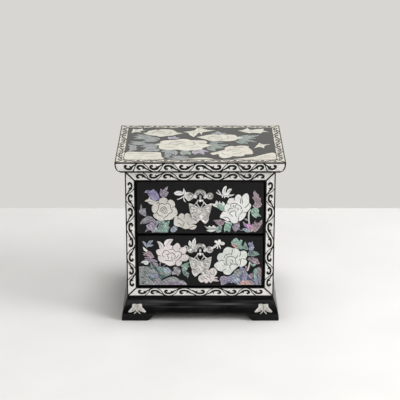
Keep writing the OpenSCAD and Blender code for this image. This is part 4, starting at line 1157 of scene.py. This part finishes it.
lower.leaf("coral", [(30.6, -19.5, 0), (30.8, -17.4), (32.2, -15.9), (35, -15.7), (38, -15.9),
    (40.2, -17.4), (41, -19.5, 0)], [(36.2, -19.5), (36.8, -17.6), (38.8, -18), (39.4, -19.5)],
    [(34.8, -16.4), (37, -16.6), (39.4, -17.6)])
lower.leaf("green", [(31.8, -19.5, 0), (32.4, -17.4), (34.4, -16.9), (35.6, -17.8), (35.6, -19.5, 0)],
    [(32.8, -19.5), (33.4, -18), (34.8, -18), (35, -19.5)])
lower.leaf("lilac", [(28.4, -19.5, 0), (28.2, -18.3), (29.8, -17.9), (30.4, -19.5, 0)])
lower.leaf("green", [(40.6, -8.4), (41.4, -6.4), (43, -5.8), (43.4, -8), (42.8, -10.4), (43.2, -13),
    (42.6, -14.8), (41.4, -14.6), (41, -11.6)], [(41.6, -7.8), (42.2, -10.6), (42, -13.8)])
lower.leaf("pink", [(43.6, -5.4), (45, -4.9), (46.4, -6.4), (46.4, -12), (46.4, -19.5, 0), (45.4, -19.5, 0),
    (45, -15), (43.7, -10.6), (44, -8)], [(44.6, -6.6), (45.4, -9), (45.9, -13), (46.2, -19)],
    [(44.4, -9.6), (45.2, -12.4), (45.6, -16)])
lower.leaf("blue", [(41, -15.5), (42.4, -15.2), (43.6, -17), (44.6, -19.5, 0), (42.6, -19.5, 0),
    (41.8, -17.6)], [(42, -16.2), (43, -17.8), (43.6, -19.5)])
lower.tell()

# %% Lower drawer, peonies and butterfly on the right
lower.bloom("mint", [(17.2, 7.4), (18, 9.7), (20, 11.4), (22, 11.4), (24.8, 10.4, 0), (26.6, 10.5),
    (28.6, 9.8), (30.1, 7.6, 0), (31.2, 8.3), (33.3, 8.6), (35, 7.4), (35.6, 4.7), (34.1, 1.6, 0),
    (35.4, 0), (35, -2), (33.4, -3.7), (31, -4.7), (29.5, -3.9, 0), (28, -5), (26, -7), (24, -9.2),
    (22.3, -11), (19.8, -11), (18, -10), (17.3, -8.2, 0), (15.7, -8.2), (13.3, -7.4), (11.7, -5.6),
    (10.5, -3.4), (12, -1.4), (14.2, 0, 0), (12.8, 2), (13.2, 4.7), (14.7, 6.4), (16.8, 6.7, 0)],
    [(14.2, 0), (16, 0.7), (17.8, 0.6)], [(18, 2.6), (19, 4.6), (21, 5.8), (23.4, 6)],
    [(23.6, 5), (24, 7.4), (24.8, 9.8)],
    [(19.8, 2.2), (21, 3.7), (23.4, 3.8), (25.6, 3.4), (26.8, 1.8), (26.8, -1)],
    [(19.8, 2.2), (19.6, -0.6), (20.6, -3)], [(18.2, -1.6), (18.8, -3), (20.6, -3.2)],
    [(26.8, -1), (27.8, -2.2), (28.8, -3.6)], [(22.6, -1), (24, -2.2), (26.4, -2.4), (28, -3.4)],
    [(23.8, -2.4), (22.4, -4), (22.8, -6.6)], [(28.4, 5.4), (27.8, 3.6), (26.9, 2.6)],
    [(30.3, 7.4), (30.4, 5.4), (29.6, 3.6)], [(29, 1.6), (30.6, 1), (31.4, 2.6)],
    [(30.4, 0.6), (30.6, -1.4), (29.8, -3.4)], [(17.4, -8), (18.2, -6.8), (19.8, -6.6)],
    [(23.4, 1.4), (24.6, 0.4), (24.6, -1)], [(34.1, 1.6), (33.2, 1.7), (32.2, 2.3)])
lower.bloom("rose", [(9, -5.8), (10.6, -5.6), (12.2, -7.4), (12.8, -9.2), (11.6, -11.4), (10.4, -13, 0),
    (11, -14.6), (9.6, -16.2, 0), (8, -17.8), (6.6, -16.4, 0), (4.8, -18.2), (3, -16.9, 0), (0.6, -17.4),
    (-1.2, -15.6), (-1.4, -13), (0.4, -11.4), (2.4, -10.6), (5, -10), (6.4, -8), (7.6, -6.6)],
    [(7.4, -8.8), (8.6, -10.6), (9.8, -11.6)], [(10, -7), (10.6, -9.6), (9.8, -11.4)],
    [(4, -11), (5.6, -12.8), (7, -13.4)], [(2, -12.6), (3.4, -14), (5.4, -14.8)],
    [(6.4, -10.4), (7.4, -12.4), (7.4, -14.2)], [(0.2, -13.4), (1.6, -15), (3.2, -15.6)],
    [(8.2, -14.8), (8.2, -15.6), (7.8, -16.6)], half=fine_cut_half)
lower.leaf("rose", [(9.8, -13.2), (11.8, -13), (13.6, -13.5, 0), (11.6, -14)])
lower.leaf("rose", [(10, -14.9), (12.2, -15), (14.5, -16.6, 0), (12, -16.6), (9.8, -16.2)],
    [(10.4, -15.6), (12, -15.7), (13.6, -16.3)])
lower.leaf("white", [(10.6, 15.8), (11.8, 17), (13, 16.2, 0), (14, 17.5), (15.4, 17.3), (15.6, 15.8, 0),
    (17.4, 15.6), (18.5, 14.4), (17.6, 13.2), (15.6, 13.4), (14.4, 13.8), (12.8, 12.4), (10.6, 10.6),
    (9.2, 11.2), (10.4, 12.6), (12.2, 14.4)], [(10, 11.4), (12, 13), (13.8, 15)],
    [(14.2, 14.8), (15.8, 14.8), (17.4, 14.4)])
lower.stem("white", 0.38, [(14, 13.8), (14.7, 12), (15.4, 10.2)], [(13.2, 13), (13.2, 11.6), (12.8, 10.2)])
lower_low, lower_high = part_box("lower_drawer_front")
lower.set((0, face_y, 500 * (lower_low[2] + lower_high[2])), (90, 0, 0), "lower_drawer")

# %% [markdown]
# ## Picture on the slab
# The top repeats the garden in ivory shell: peonies in grey-blue leaves, butterflies and birds between
# them, and pale rocks at the front corners. Seen from the front it is so foreshortened that it reads as
# pale islands.

# %% Slab, leaves and rocks
garden = Picture("slab_picture")
garden.spray("haze", (-31, 8), (-47, 12, 6), (-41, 17.4, 5.4), (-46, 4.4, 5.4), (-36.6, 17, 4))
garden.spray("haze", (-31.6, -7), (-47, -1.6, 6), (-46, -8.6, 6.4), (-43, -16, 6), (-38, -1, 4.6))
garden.spray("haze", (-48, -12), (-55, -3, 5), (-55, -11, 5), (-54, -19.6, 5))
garden.spray("lilac", (-22, 10.6), (-24.6, 17, 4), (-19.6, 18.4, 4), (-15.6, 15.6, 4))
garden.spray("haze", (14.6, 22.4), (13.4, 31.6, 5), (8.6, 26.6, 4), (20.4, 27, 4))
garden.spray("haze", (-20, -16), (-30, -21, 5.4), (-26, -28, 6), (-18.6, -30, 5))
garden.spray("haze", (-36, 14), (-53, 18.4, 6), (-52.6, 11.6, 5), (-50, 23, 5))
garden.spray("haze", (-40, -3), (-54, 5.4, 6), (-54.4, -0.6, 5.4))
garden.spray("haze", (-33, -13), (-45, -20, 6), (-38.6, -20.8, 5), (-33, -20.6, 5))
garden.spray("haze", (-22, -32), (-26.6, -22.6, 5), (-27.4, -34, 5))
garden.spray("sage", (-12, -17.6), (-13, -30, 6), (-7.4, -28.6, 5))
garden.spray("lilac", (-3.4, -16), (-4, -28, 5.4), (3, -27.6, 5.4), (6.6, -21.6, 5))
garden.spray("haze", (-7.6, -37.6), (-22, -31, 6), (-16, -30.6, 4), (-25, -37, 5))
garden.spray("sage", (6, -8), (13, 2.6, 6), (21.6, -3.4, 6), (18.6, -12, 6), (11, -20.4, 6))
garden.spray("sage", (6, 2.4), (13, 5.4, 3), (19.6, 3.6, 3))
garden.spray("sage", (27.6, 12), (46.4, 20.6, 6), (43.6, 12.6, 5), (37.6, 21.4, 5), (43.8, 3, 5))
garden.spray("sage", (28, 8.4), (36.8, -1.4, 5.4), (32, -1.6, 4.6))
garden.leaf("ivory", [(-55.2, -22), (-46, -21.6), (-31, -22.4), (-29.4, -27), (-28.8, -33), (-28.8, -39.2),
    (-55.2, -39.2)], [(-54, -26), (-44, -25), (-33, -26.6)],
    [(-54, -32), (-46, -30), (-38, -33), (-31, -32)], [(-50, -38), (-48, -35), (-44, -36.6)])
garden.leaf("ivory", [(23, -39.2, 0), (32, -36.6), (40, -33.4), (47, -28), (55.2, -23.6), (55.2, -39.2)],
    [(34, -38), (43, -34.6), (54, -28)], [(42, -38), (48, -35), (54.6, -33)])
garden.leaf("ivory", [(-23, -39.2, 0), (-8, -37.6), (-2, -35.6), (4, -35.6), (9, -38.4), (10, -39.2, 0)])
garden.tell()

# %% Slab, butterflies and birds
garden.leaf("ivory", [(-53.4, 37.8, 0), (-50, 36.2), (-45.5, 39, 0), (-45.5, 35), (-43, 33.7, 0),
    (-47.2, 32), (-46.3, 28.7, 0), (-50.5, 29.5), (-54.3, 26.2, 0), (-53.4, 32)],
    [(-52.4, 36), (-49.6, 32.6), (-45, 33.4)], [(-52.6, 29), (-50, 32)])
garden.leaf("ivory", [(-3, 40, 0), (-4.7, 33.7), (-13.8, 29.5, 0), (-9.7, 27), (-8, 21.2), (-5, 16.2, 0),
    (-3, 22), (-0.9, 27.8), (1.2, 21.2, 0), (1.6, 27.8), (4.5, 30.3), (12, 34, 0), (5.3, 35.3),
    (1.2, 39.5, 0)], [(-12, 29), (-5, 29.6), (0, 31.4), (9, 33.6)], [(-5, 28.6), (-5.4, 24), (-5, 19)],
    [(-1, 37.6), (-1.4, 34)])
garden.leaf("ivory", [(29.6, 33.2, 0), (33, 34.6), (35, 36.6), (37.4, 40, 0), (40.2, 35), (44, 36.8),
    (50.6, 38.4, 0), (49.8, 33.4), (53.8, 30, 0), (49, 29.4), (47.6, 25.6, 0), (42.6, 27.4),
    (38.6, 26.4, 0), (35, 28.8)], [(37.4, 38), (39.6, 31.6), (39, 28)], [(40, 31.8), (45, 33.6), (49, 37)],
    [(40, 31), (45, 30), (51.6, 30.4)], [(38.8, 31.4), (35, 31.6), (31.6, 33)])
garden.leaf("ivory", [(45.3, 1.2, 0), (47.6, -2.8), (53.4, -2.4, 0), (49.2, -6.4), (48.2, -12.6, 0),
    (45.3, -9), (40.8, -12.2, 0), (43.4, -5)], [(45.4, -1), (46, -5.4), (47.6, -10.4)],
    [(46.2, -5), (49, -4.4), (51.6, -3)])
garden.tell()

# %% Slab, peonies
garden.bloom("ivory", [(-45, 26.2, 0), (-42, 27.6, 0), (-40.6, 32), (-36, 35), (-33, 34.6, 0), (-29, 36.6),
    (-23, 35.4), (-20, 32), (-18.4, 28.2, 0), (-13.4, 25.6, 0), (-18.4, 23), (-22, 20), (-26.6, 19, 0),
    (-31.4, 16.8), (-34, 19, 0), (-38.4, 20.2), (-42, 22.6)],
    [(-38, 24), (-36, 29), (-31, 30.6), (-27, 28)], [(-30, 22), (-26, 22.6), (-23, 26), (-24, 31)],
    [(-33, 34.6), (-33, 33), (-34, 31)], [(-33, 24), (-30, 26.4), (-27, 25.6)])
garden.bloom("ivory", [(-3, 15.8, 0), (2.4, 18.4, 0), (5.4, 21.2), (10.4, 22.5), (14, 21.6, 0), (19, 22.4),
    (27, 20.8), (28.8, 15.6, 0), (34.4, 13.7, 0), (29, 11), (26.6, 7), (20.2, 5.2), (16, 6.4, 0), (11, 5.4),
    (6.6, 7.2), (3.4, 10.4)], [(6, 11), (8, 16), (13, 18), (17, 15.4)],
    [(14, 9.4), (18.6, 10), (22, 13.4), (20.6, 18.4)], [(11, 12), (14, 13.8), (17, 12.6)])
garden.bloom("ivory", [(-35, -3, 0), (-30.8, -0.2, 0), (-30, 5.2), (-25, 7.6), (-19, 8, 0), (-16, 10.6),
    (-10.4, 10.4), (-8, 7.8, 0), (-3, 7.6), (3.4, 7), (5.2, 2.6), (4, -1.6, 0), (8.5, -5.5, 0), (5, -9.4),
    (2, -11, 0), (0.6, -16), (-5, -17, 0), (-11.3, -18.8), (-17.4, -15.6, 0), (-24, -16.4), (-30, -14.8),
    (-31.6, -10), (-31, -6, 0)], [(-24, -4), (-22, 2), (-16, 4.4), (-11, 1.4)],
    [(-14, -8), (-8, -7), (-4, -2.4), (-6, 3.6)], [(-19, -5), (-15, -1.4), (-11, -3)],
    [(-27, -10), (-22, -11), (-18, -9)], [(-8, -13), (-4, -10), (0, -8.6)],
    [(4, -1.6), (1, -0.6), (-1.4, 1)])
garden.bloom("ivory", [(7.6, -25), (9.5, -28.8, 0), (13.8, -26.4, 0), (14.4, -33), (17, -36.5),
    (21.4, -35.4), (24, -31.6, 0), (28, -32.7), (32.2, -31.2), (33.4, -27.6, 0), (38.6, -27), (39.4, -22.4),
    (38.6, -16.4), (36.4, -11.4, 0), (36.4, -7.2), (30.4, -6.2), (26.2, -8.4, 0), (23.4, -7), (19, -11),
    (18.6, -16.2, 0), (14.6, -19.6), (11.6, -22)], [(20, -22), (22, -16.6), (27, -15), (31, -18.4)],
    [(24, -27), (29, -25.6), (32, -21)], [(23.6, -22), (26.4, -19.4), (29, -21)],
    [(16, -24), (18.4, -28), (22, -29.4)], [(26, -11), (29, -10.4), (32.6, -12)])
garden.set((0, 0, slab_top - field_sink), (0, 0, 0), "cabinet")

# %% [markdown]
# ## Butterflies on the feet
# Each front foot carries a small white butterfly, its upper wings cut straight and its feelers hanging
# down. The moulding bulges there, so the flat drawing is cut finer and every point is carried onto the
# moulding by its height. The second butterfly is a copy of the first.

# %% Foot butterflies
plinth_high = edge_of("plinth_front", 1, 2)
plinth_flare, plinth_rise = 4.4, 1.2


def on_plinth(x, z, rise):
    """A point on the front of the plinth at a height, some millimetres proud"""
    share = min(max(1 - z / plinth_high, 0), 1)
    out = plinth_flare * math.sin(math.pi / 2 * share) ** plinth_rise
    return mm(x), mm(front_y - out - rise), mm(z)


foot_x, foot_z = 48.4, 8.6
foot_thick, foot_cut, feeler_rise, foot_proud = 0.12, 0.135, 0.04, 0.03
foot_vein_half, feeler_half = 0.16, 0.28
half_wing = [(0, 3.9), (1, 4.3), (3.3, 4.4), (3.8, 3.4), (3.6, 2.3), (4.6, 1.2), (6.8, -1.2), (6.2, -1.9),
             (4.4, -1.6), (1.9, -0.8)]
outline = half_wing + [(0, -0.2)] + [(-x, y) for x, y in half_wing[:0:-1]]
butterfly = join("left_foot_butterfly", [saw("left_foot_butterfly", outline, foot_thick)])
bpy.ops.object.mode_set(mode="EDIT")
bpy.ops.mesh.select_all(action="SELECT")
bpy.ops.mesh.quads_convert_to_tris()
bpy.ops.mesh.subdivide(number_cuts=3)
bpy.ops.object.mode_set(mode="OBJECT")
veins = [[(0, 3.6, 0.2), (0, 1.4, 0.3), (0, -0.3, 0.16)]]
feelers = []
for hand in (-1, 1):
    for a, b, c, d in ((0.5, 1.8, 3.4, 2.2), (0.5, 2.2, 2.6, 3.9), (0.6, 2.8, 1.4, 4), (0.6, 1.2, 5.9, -1.3),
                       (1.6, 1.4, 4.4, 0.7), (0.5, 0.5, 4.2, -1.2), (0.4, 0.1, 2.2, -0.7)):
        vein = [(hand * a, b), (hand * (a + c) / 2, (b + d) / 2), (hand * c, d)]
        veins.append(taper(vein, foot_vein_half))
    feeler = smooth([(hand * 0.1, -0.2), (hand * 0.9, -1.6), (hand * 2.5, -3)], 4)
    feelers.append(taper(feeler, feeler_half, 0.7))
foot_pieces = [(butterfly, shells["cream"]), (draw("left_foot_veins", veins, foot_cut), engraved),
               (draw("left_foot_feelers", feelers, feeler_rise), shells["cream"])]
for piece, finish in foot_pieces:
    for vertex in piece.data.vertices:
        a, b, h = (part * 1000 for part in vertex.co)
        vertex.co = on_plinth(a - foot_x, foot_z + b, h + foot_proud)
    right = twin(piece, piece.name.replace("left", "right"))
    settle(right, (2 * foot_x, 0, 0))
    for insect in (piece, right):
        give(insect, finish, "cabinet")
print("Pieces of the foot butterflies:", 2 * len(foot_pieces))

# %% [markdown]
# ## Pulls
# Each pull is a cast cloud plate, nailed on, with an eye pin and a butterfly that hangs in it. The castings
# keep the frame's shapes with their edges shaded. Chasing then adds what the frame leaves out: raised rims,
# veins that fan over the wings, dark cuts between them, and curls on the roundels. It is drawn once and
# copied for the lower pull.

# %% Castings
pull_parts = {"plate": "_drawer", "nails": "_drawer", "eye_pin": "_drawer", "butterfly": "_butterfly"}
for level in levels:
    for part, body in pull_parts.items():
        name = level + "_pull_" + part
        piece = copy_node(name)
        soften(piece)
        stand_in(piece, name + "_cast", silver, level + body, "antique_silver", name)
print("Castings:", 2 * len(pull_parts))

# %% Lines of the wings
wing_w, wing_d = 8.4, 18.6


def cubic(a, b, c, d, steps=10):
    """Points along a curve from one point to another with two handles"""
    points = []
    for i in range(steps + 1):
        t = i / steps
        s = 1 - t
        points.append(tuple(s ** 3 * p + 3 * s * s * t * q + 3 * s * t * t * r + t ** 3 * u
                            for p, q, r, u in zip(a, b, c, d)))
    return points


def wing_edge():
    """The right-hand wings of the hanging butterfly as in the frame, in shares of its width and drop"""
    w, d = wing_w, wing_d
    root, tip, notch = (0.04 * w, -0.385 * d), (w, -0.12 * d), (0.7 * w, -0.72 * d)
    tail, heel = (0.46 * w, -d), (0.04 * w, -0.83 * d)
    return (cubic(root, (0.2 * w, -0.29 * d), (0.55 * w, -0.15 * d), tip)
            + cubic(tip, (1.03 * w, -0.2 * d), (0.92 * w, -0.55 * d), notch)[1:]
            + cubic(notch, (0.86 * w, -0.78 * d), (0.62 * w, -0.95 * d), tail)[1:]
            + cubic(tail, (0.32 * w, -0.97 * d), (0.15 * w, -0.88 * d), heel)[1:])


wing_middle = (0.45 * wing_w, -0.45 * wing_d)
rim_in, rim_half = 0.09, 0.34
dot_half, vein_swell, vein_bow, fore_edge_half = 0.13, 0.16, 0.8, 0.2
# Places along the rim are counted in its points, ten to each of its four curves
fore_dots, hind_dots = slice(11, 21), slice(23, 33, 3)
vein_tips, first_hind_tip = range(6, 28, 3), 22
fore_root, hind_root = (0.9, -0.43 * wing_d), (0.9, -0.74 * wing_d)


def inward(point, share):
    """A point of the wing's edge, drawn towards the wing's middle by some share"""
    return tuple(p + (m - p) * share for p, m in zip(point, wing_middle))


rim_line = [inward(point, rim_in) for point in wing_edge()]
insect_body = [(0, -6.4, 0.3), (0, -7.6, 0.62), (0, -9.4, 0.5), (0, -11.4, 0.6), (0, -13.4, 0.46),
               (0, -15, 0.24)]
fore_edge = cubic((0.8, -0.6 * wing_d), (3, -0.66 * wing_d), (5, -0.68 * wing_d), (6, -0.7 * wing_d))
ribs, grooves = [smooth(insect_body, 4)], []
for hand in (-1, 1):
    ribs.append([(hand * x, y, rim_half) for x, y in rim_line])
    for point in rim_line[fore_dots] + rim_line[hind_dots]:
        dot = [inward(point, share) for share in (0.14, 0.2, 0.26)]
        grooves.append(taper([(hand * x, y) for x, y in dot], dot_half, 0.6))
    for tip_at in vein_tips:
        tx, ty = rim_line[tip_at]
        root = fore_root if tip_at < first_hind_tip else hind_root
        line = []
        for t in (0.2, 0.4, 0.6, 0.8, 0.94):
            bow = vein_bow * math.sin(math.pi * t)
            line.append((root[0] + (tx - root[0]) * t, root[1] + (ty - root[1]) * t + bow))
        grooves.append(taper([(hand * x, y) for x, y in line], vein_swell, 0.5))
    grooves.append(taper([(hand * x, y) for x, y in fore_edge], fore_edge_half))
print("Lines on one butterfly:", len(ribs) + len(grooves))

# %% Chasing
y_pull, pull_drop = -41.35, 14.2
wing_half, plate_high, arch_sunk, rib_proud = 0.55, 0.92, 0.3, 0.02
wing_front, plate_front = y_pull - wing_half, face_y - plate_high
roundel_x, roundel_z, arch_r, arch_z = 7.2, 3, 2.9, 3.6
inner_r = 1.9
curl_half, arch_half, inner_half = 0.2, 0.22, 0.45
turns = [(0.6 * i, 1.7 - 0.07 * i) for i in range(16)]
curls = []
for hand in (-1, 1):
    curls.append([(hand * (roundel_x + r * math.cos(t)), roundel_z + r * math.sin(t), curl_half)
                  for t, r in turns])
half_turn = [math.pi * i / 16 for i in range(17)]
curls.append([(arch_r * math.cos(t), arch_z + arch_r * math.sin(t), arch_half) for t in half_turn])
inner_arch = [[(inner_r * math.cos(t), arch_z + inner_r * math.sin(t), inner_half) for t in half_turn]]
pivot = upper_high[2] * 1000 - pull_drop
level_drop = 1000 * (lower_high[2] - upper_high[2])
chasing = (("_wing_rims", ribs, wing_front - rib_proud, silver, "_butterfly"),
           ("_wing_veins", grooves, wing_front, patina, "_butterfly"),
           ("_plate_chasing", curls, plate_front, patina, "_drawer"),
           ("_plate_inner_arch", inner_arch, face_y - arch_sunk, silver, "_drawer"))
for name, strokes, y, finish, body in chasing:
    piece = draw("upper" + name, strokes, 0.0, broad_nib)
    settle(piece, (0, y, pivot), (90, 0, 0))
    other = twin(piece, "lower" + name)
    settle(other, (0, 0, level_drop))
    give(piece, finish, "upper" + body)
    give(other, finish, "lower" + body)
for tip in (fine_nib, broad_nib):
    bpy.data.objects.remove(tip)
print("Pivot of the upper pull at", round(pivot, 2), "mm")

# %% [markdown]
# ## Velvet pads
# A thin pad of velvet over wadding lies in each drawer. It is crowned in the middle and pulled down at its
# edges. A block of the pad's size is divided finely. Its points are then let down towards the edges, with
# faint dimples where the wadding gives, while its underside stays flat on the drawer's bottom.

# %% Pads
pad_cuts, pad_fill, pad_crease = 24, 0.6, 60
pad_edge, pad_crown, pad_dimple, pad_square = 0.42, 0.5, 0.06, 6
dimple_x, dimple_y, dimple_shift = 210, 260, 1


def pad(level):
    """The crowned pad of one drawer, within the box of its CAD solid"""
    low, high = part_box(level + "_drawer_lining")
    wide, deep, tall = (high[i] - low[i] for i in range(3))
    bpy.ops.object.select_all(action="DESELECT")
    bpy.ops.mesh.primitive_cube_add(size=1)
    piece = bpy.context.object
    piece.name = level + "_velvet_pad"
    piece.scale = (wide, deep, tall)
    settle(piece, [500 * (low[i] + high[i]) for i in range(3)])
    bpy.ops.object.mode_set(mode="EDIT")
    bpy.ops.mesh.select_all(action="SELECT")
    bpy.ops.mesh.subdivide(number_cuts=pad_cuts)
    bpy.ops.object.mode_set(mode="OBJECT")
    cx, cy = (low[0] + high[0]) / 2, (low[1] + high[1]) / 2
    for vertex in piece.data.vertices:
        u = abs(vertex.co.x - cx) / (wide / 2)
        v = abs(vertex.co.y - cy) / (deep / 2)
        share = (vertex.co.z - low[2]) / tall
        crown = (1 - u ** pad_square) * (1 - v ** pad_square)
        dimple = math.sin(vertex.co.x * dimple_x) * math.sin(vertex.co.y * dimple_y + dimple_shift)
        height = pad_edge + pad_crown * crown + pad_dimple * dimple * crown
        vertex.co.z = low[2] + tall * share * height
    only(piece)
    bpy.ops.object.shade_smooth_by_angle(angle=math.radians(pad_crease))
    stand_in(piece, piece.name, velvet, level + "_drawer", "velvet", level + "_drawer_lining")
    return piece


print("Pads:", [pad(level).name for level in levels])

# %% [markdown]
# ## Table, light and camera
# The chest stands on a white table in soft daylight from the right, which throws a soft shadow to the left.
# Light from the room fills the front, and a small ceiling lamp lifts the top. The table ends behind the
# chest, in front of an even pale wall. Polished lacquer mirrors that wall, a dimmer room in front and a row
# of panes high in it. The camera looks down by about twenty degrees through a long lens.

# %% Table
bpy.ops.object.select_all(action="DESELECT")
bpy.ops.mesh.primitive_plane_add(size=1)
table = bpy.context.object
table.name = "table"
table_wide, table_deep, table_behind = 3000, 2200, 205
table.scale = (mm(table_wide), mm(table_deep), 1)
settle(table, (0, table_behind - table_deep / 2, 0))
matt = mottled_finish("matt_white_table", 90, [(0.3, "#e8e7e6"), (0.7, "#eeedec")],
                      Roughness=0.75, Specular_IOR_Level=0.3)
paint(table, matt)
print("Table edge at", table_behind, "mm behind the middle")

# %% World
scene = bpy.context.scene
world = bpy.data.worlds.new("pale_room")
scene.world = world
world.use_nodes = True
for old in list(world.node_tree.nodes):
    world.node_tree.nodes.remove(old)
path = add(world, "LightPath").outputs
daylight = add(world, "Background", {"Color": linear("#f4f2ee"), "Strength": 0.5})
way = add(world, "SeparateXYZ", {"Vector": add(world, "TexCoord").outputs["Generated"]})
depth = add(world, "MapRange", {"Value": way.outputs["Y"], "From Min": -0.6, "From Max": 0.6})
room = add(world, "ValToRGB", {"Fac": depth.outputs["Result"]}, stops=[(0.0, "#6a6967"), (1.0, "#f4f3ee")])
mirrored = add(world, "Background", {"Color": room.outputs["Color"]})
panes = add(world, "ValToRGB", {"Fac": way.outputs["Z"]},
            stops=[(0.3, "#000000"), (0.33, "#ffffff"), (0.4, "#ffffff"), (0.43, "#000000")])
front = add(world, "MapRange", {"Value": way.outputs["Y"], "From Min": -0.3, "From Max": -0.9,
                                "To Max": 7.0})
window = add(world, "Background", {"Color": panes.outputs["Color"], "Strength": front.outputs["Result"]})
reflected = add(world, "AddShader", {0: mirrored.outputs[0], 1: window.outputs[0]})
wall = add(world, "Background", {"Color": linear("#d8d6d2")})
lit = add(world, "MixShader", {0: path["Is Glossy Ray"], 1: daylight.outputs[0], 2: reflected.outputs[0]})
clear = add(world, "Math", {0: path["Is Camera Ray"], 1: path["Is Transmission Ray"]}, operation="MAXIMUM")
choice = add(world, "MixShader", {0: clear.outputs[0], 1: lit.outputs[0], 2: wall.outputs[0]})
add(world, "OutputWorld", {"Surface": choice.outputs[0]})
print("World nodes:", len(world.node_tree.nodes))

# %% Lights and camera
chest_middle = (0, 0, 0.06)


def soft_light(name, place, size, power):
    """A round lamp that faces the middle of the chest; metres and watts"""
    bpy.ops.object.light_add(type="AREA", location=place)
    lamp = bpy.context.object
    lamp.name = name
    lamp.data.shape = "DISK"
    lamp.data.size = size
    lamp.data.energy = power
    offset = [t - p for t, p in zip(chest_middle, place)]
    flat = math.hypot(offset[0], offset[1])
    lamp.rotation_euler = (math.atan2(flat, -offset[2]), 0, math.atan2(offset[1], offset[0]) - math.pi / 2)


soft_light("window", (1.0, -0.35, 0.75), 0.7, 9)
soft_light("room", (0.1, -1.3, 1.2), 1.0, 4)
soft_light("ceiling", (0.05, 0, 0.9), 0.25, 2.4)
eye, look_down, long_lens = (-0.0002, -0.982, 0.4386), 19.93, 120.86
bpy.ops.object.camera_add(location=eye, rotation=(math.radians(90 - look_down), 0, 0))
camera = bpy.context.object
camera.data.lens = long_lens
camera.data.sensor_width = 36
camera.data.clip_start = 0.01
scene.camera = camera
scene.view_settings.view_transform = "Standard"
print("Camera at", tuple(round(c, 3) for c in camera.location))
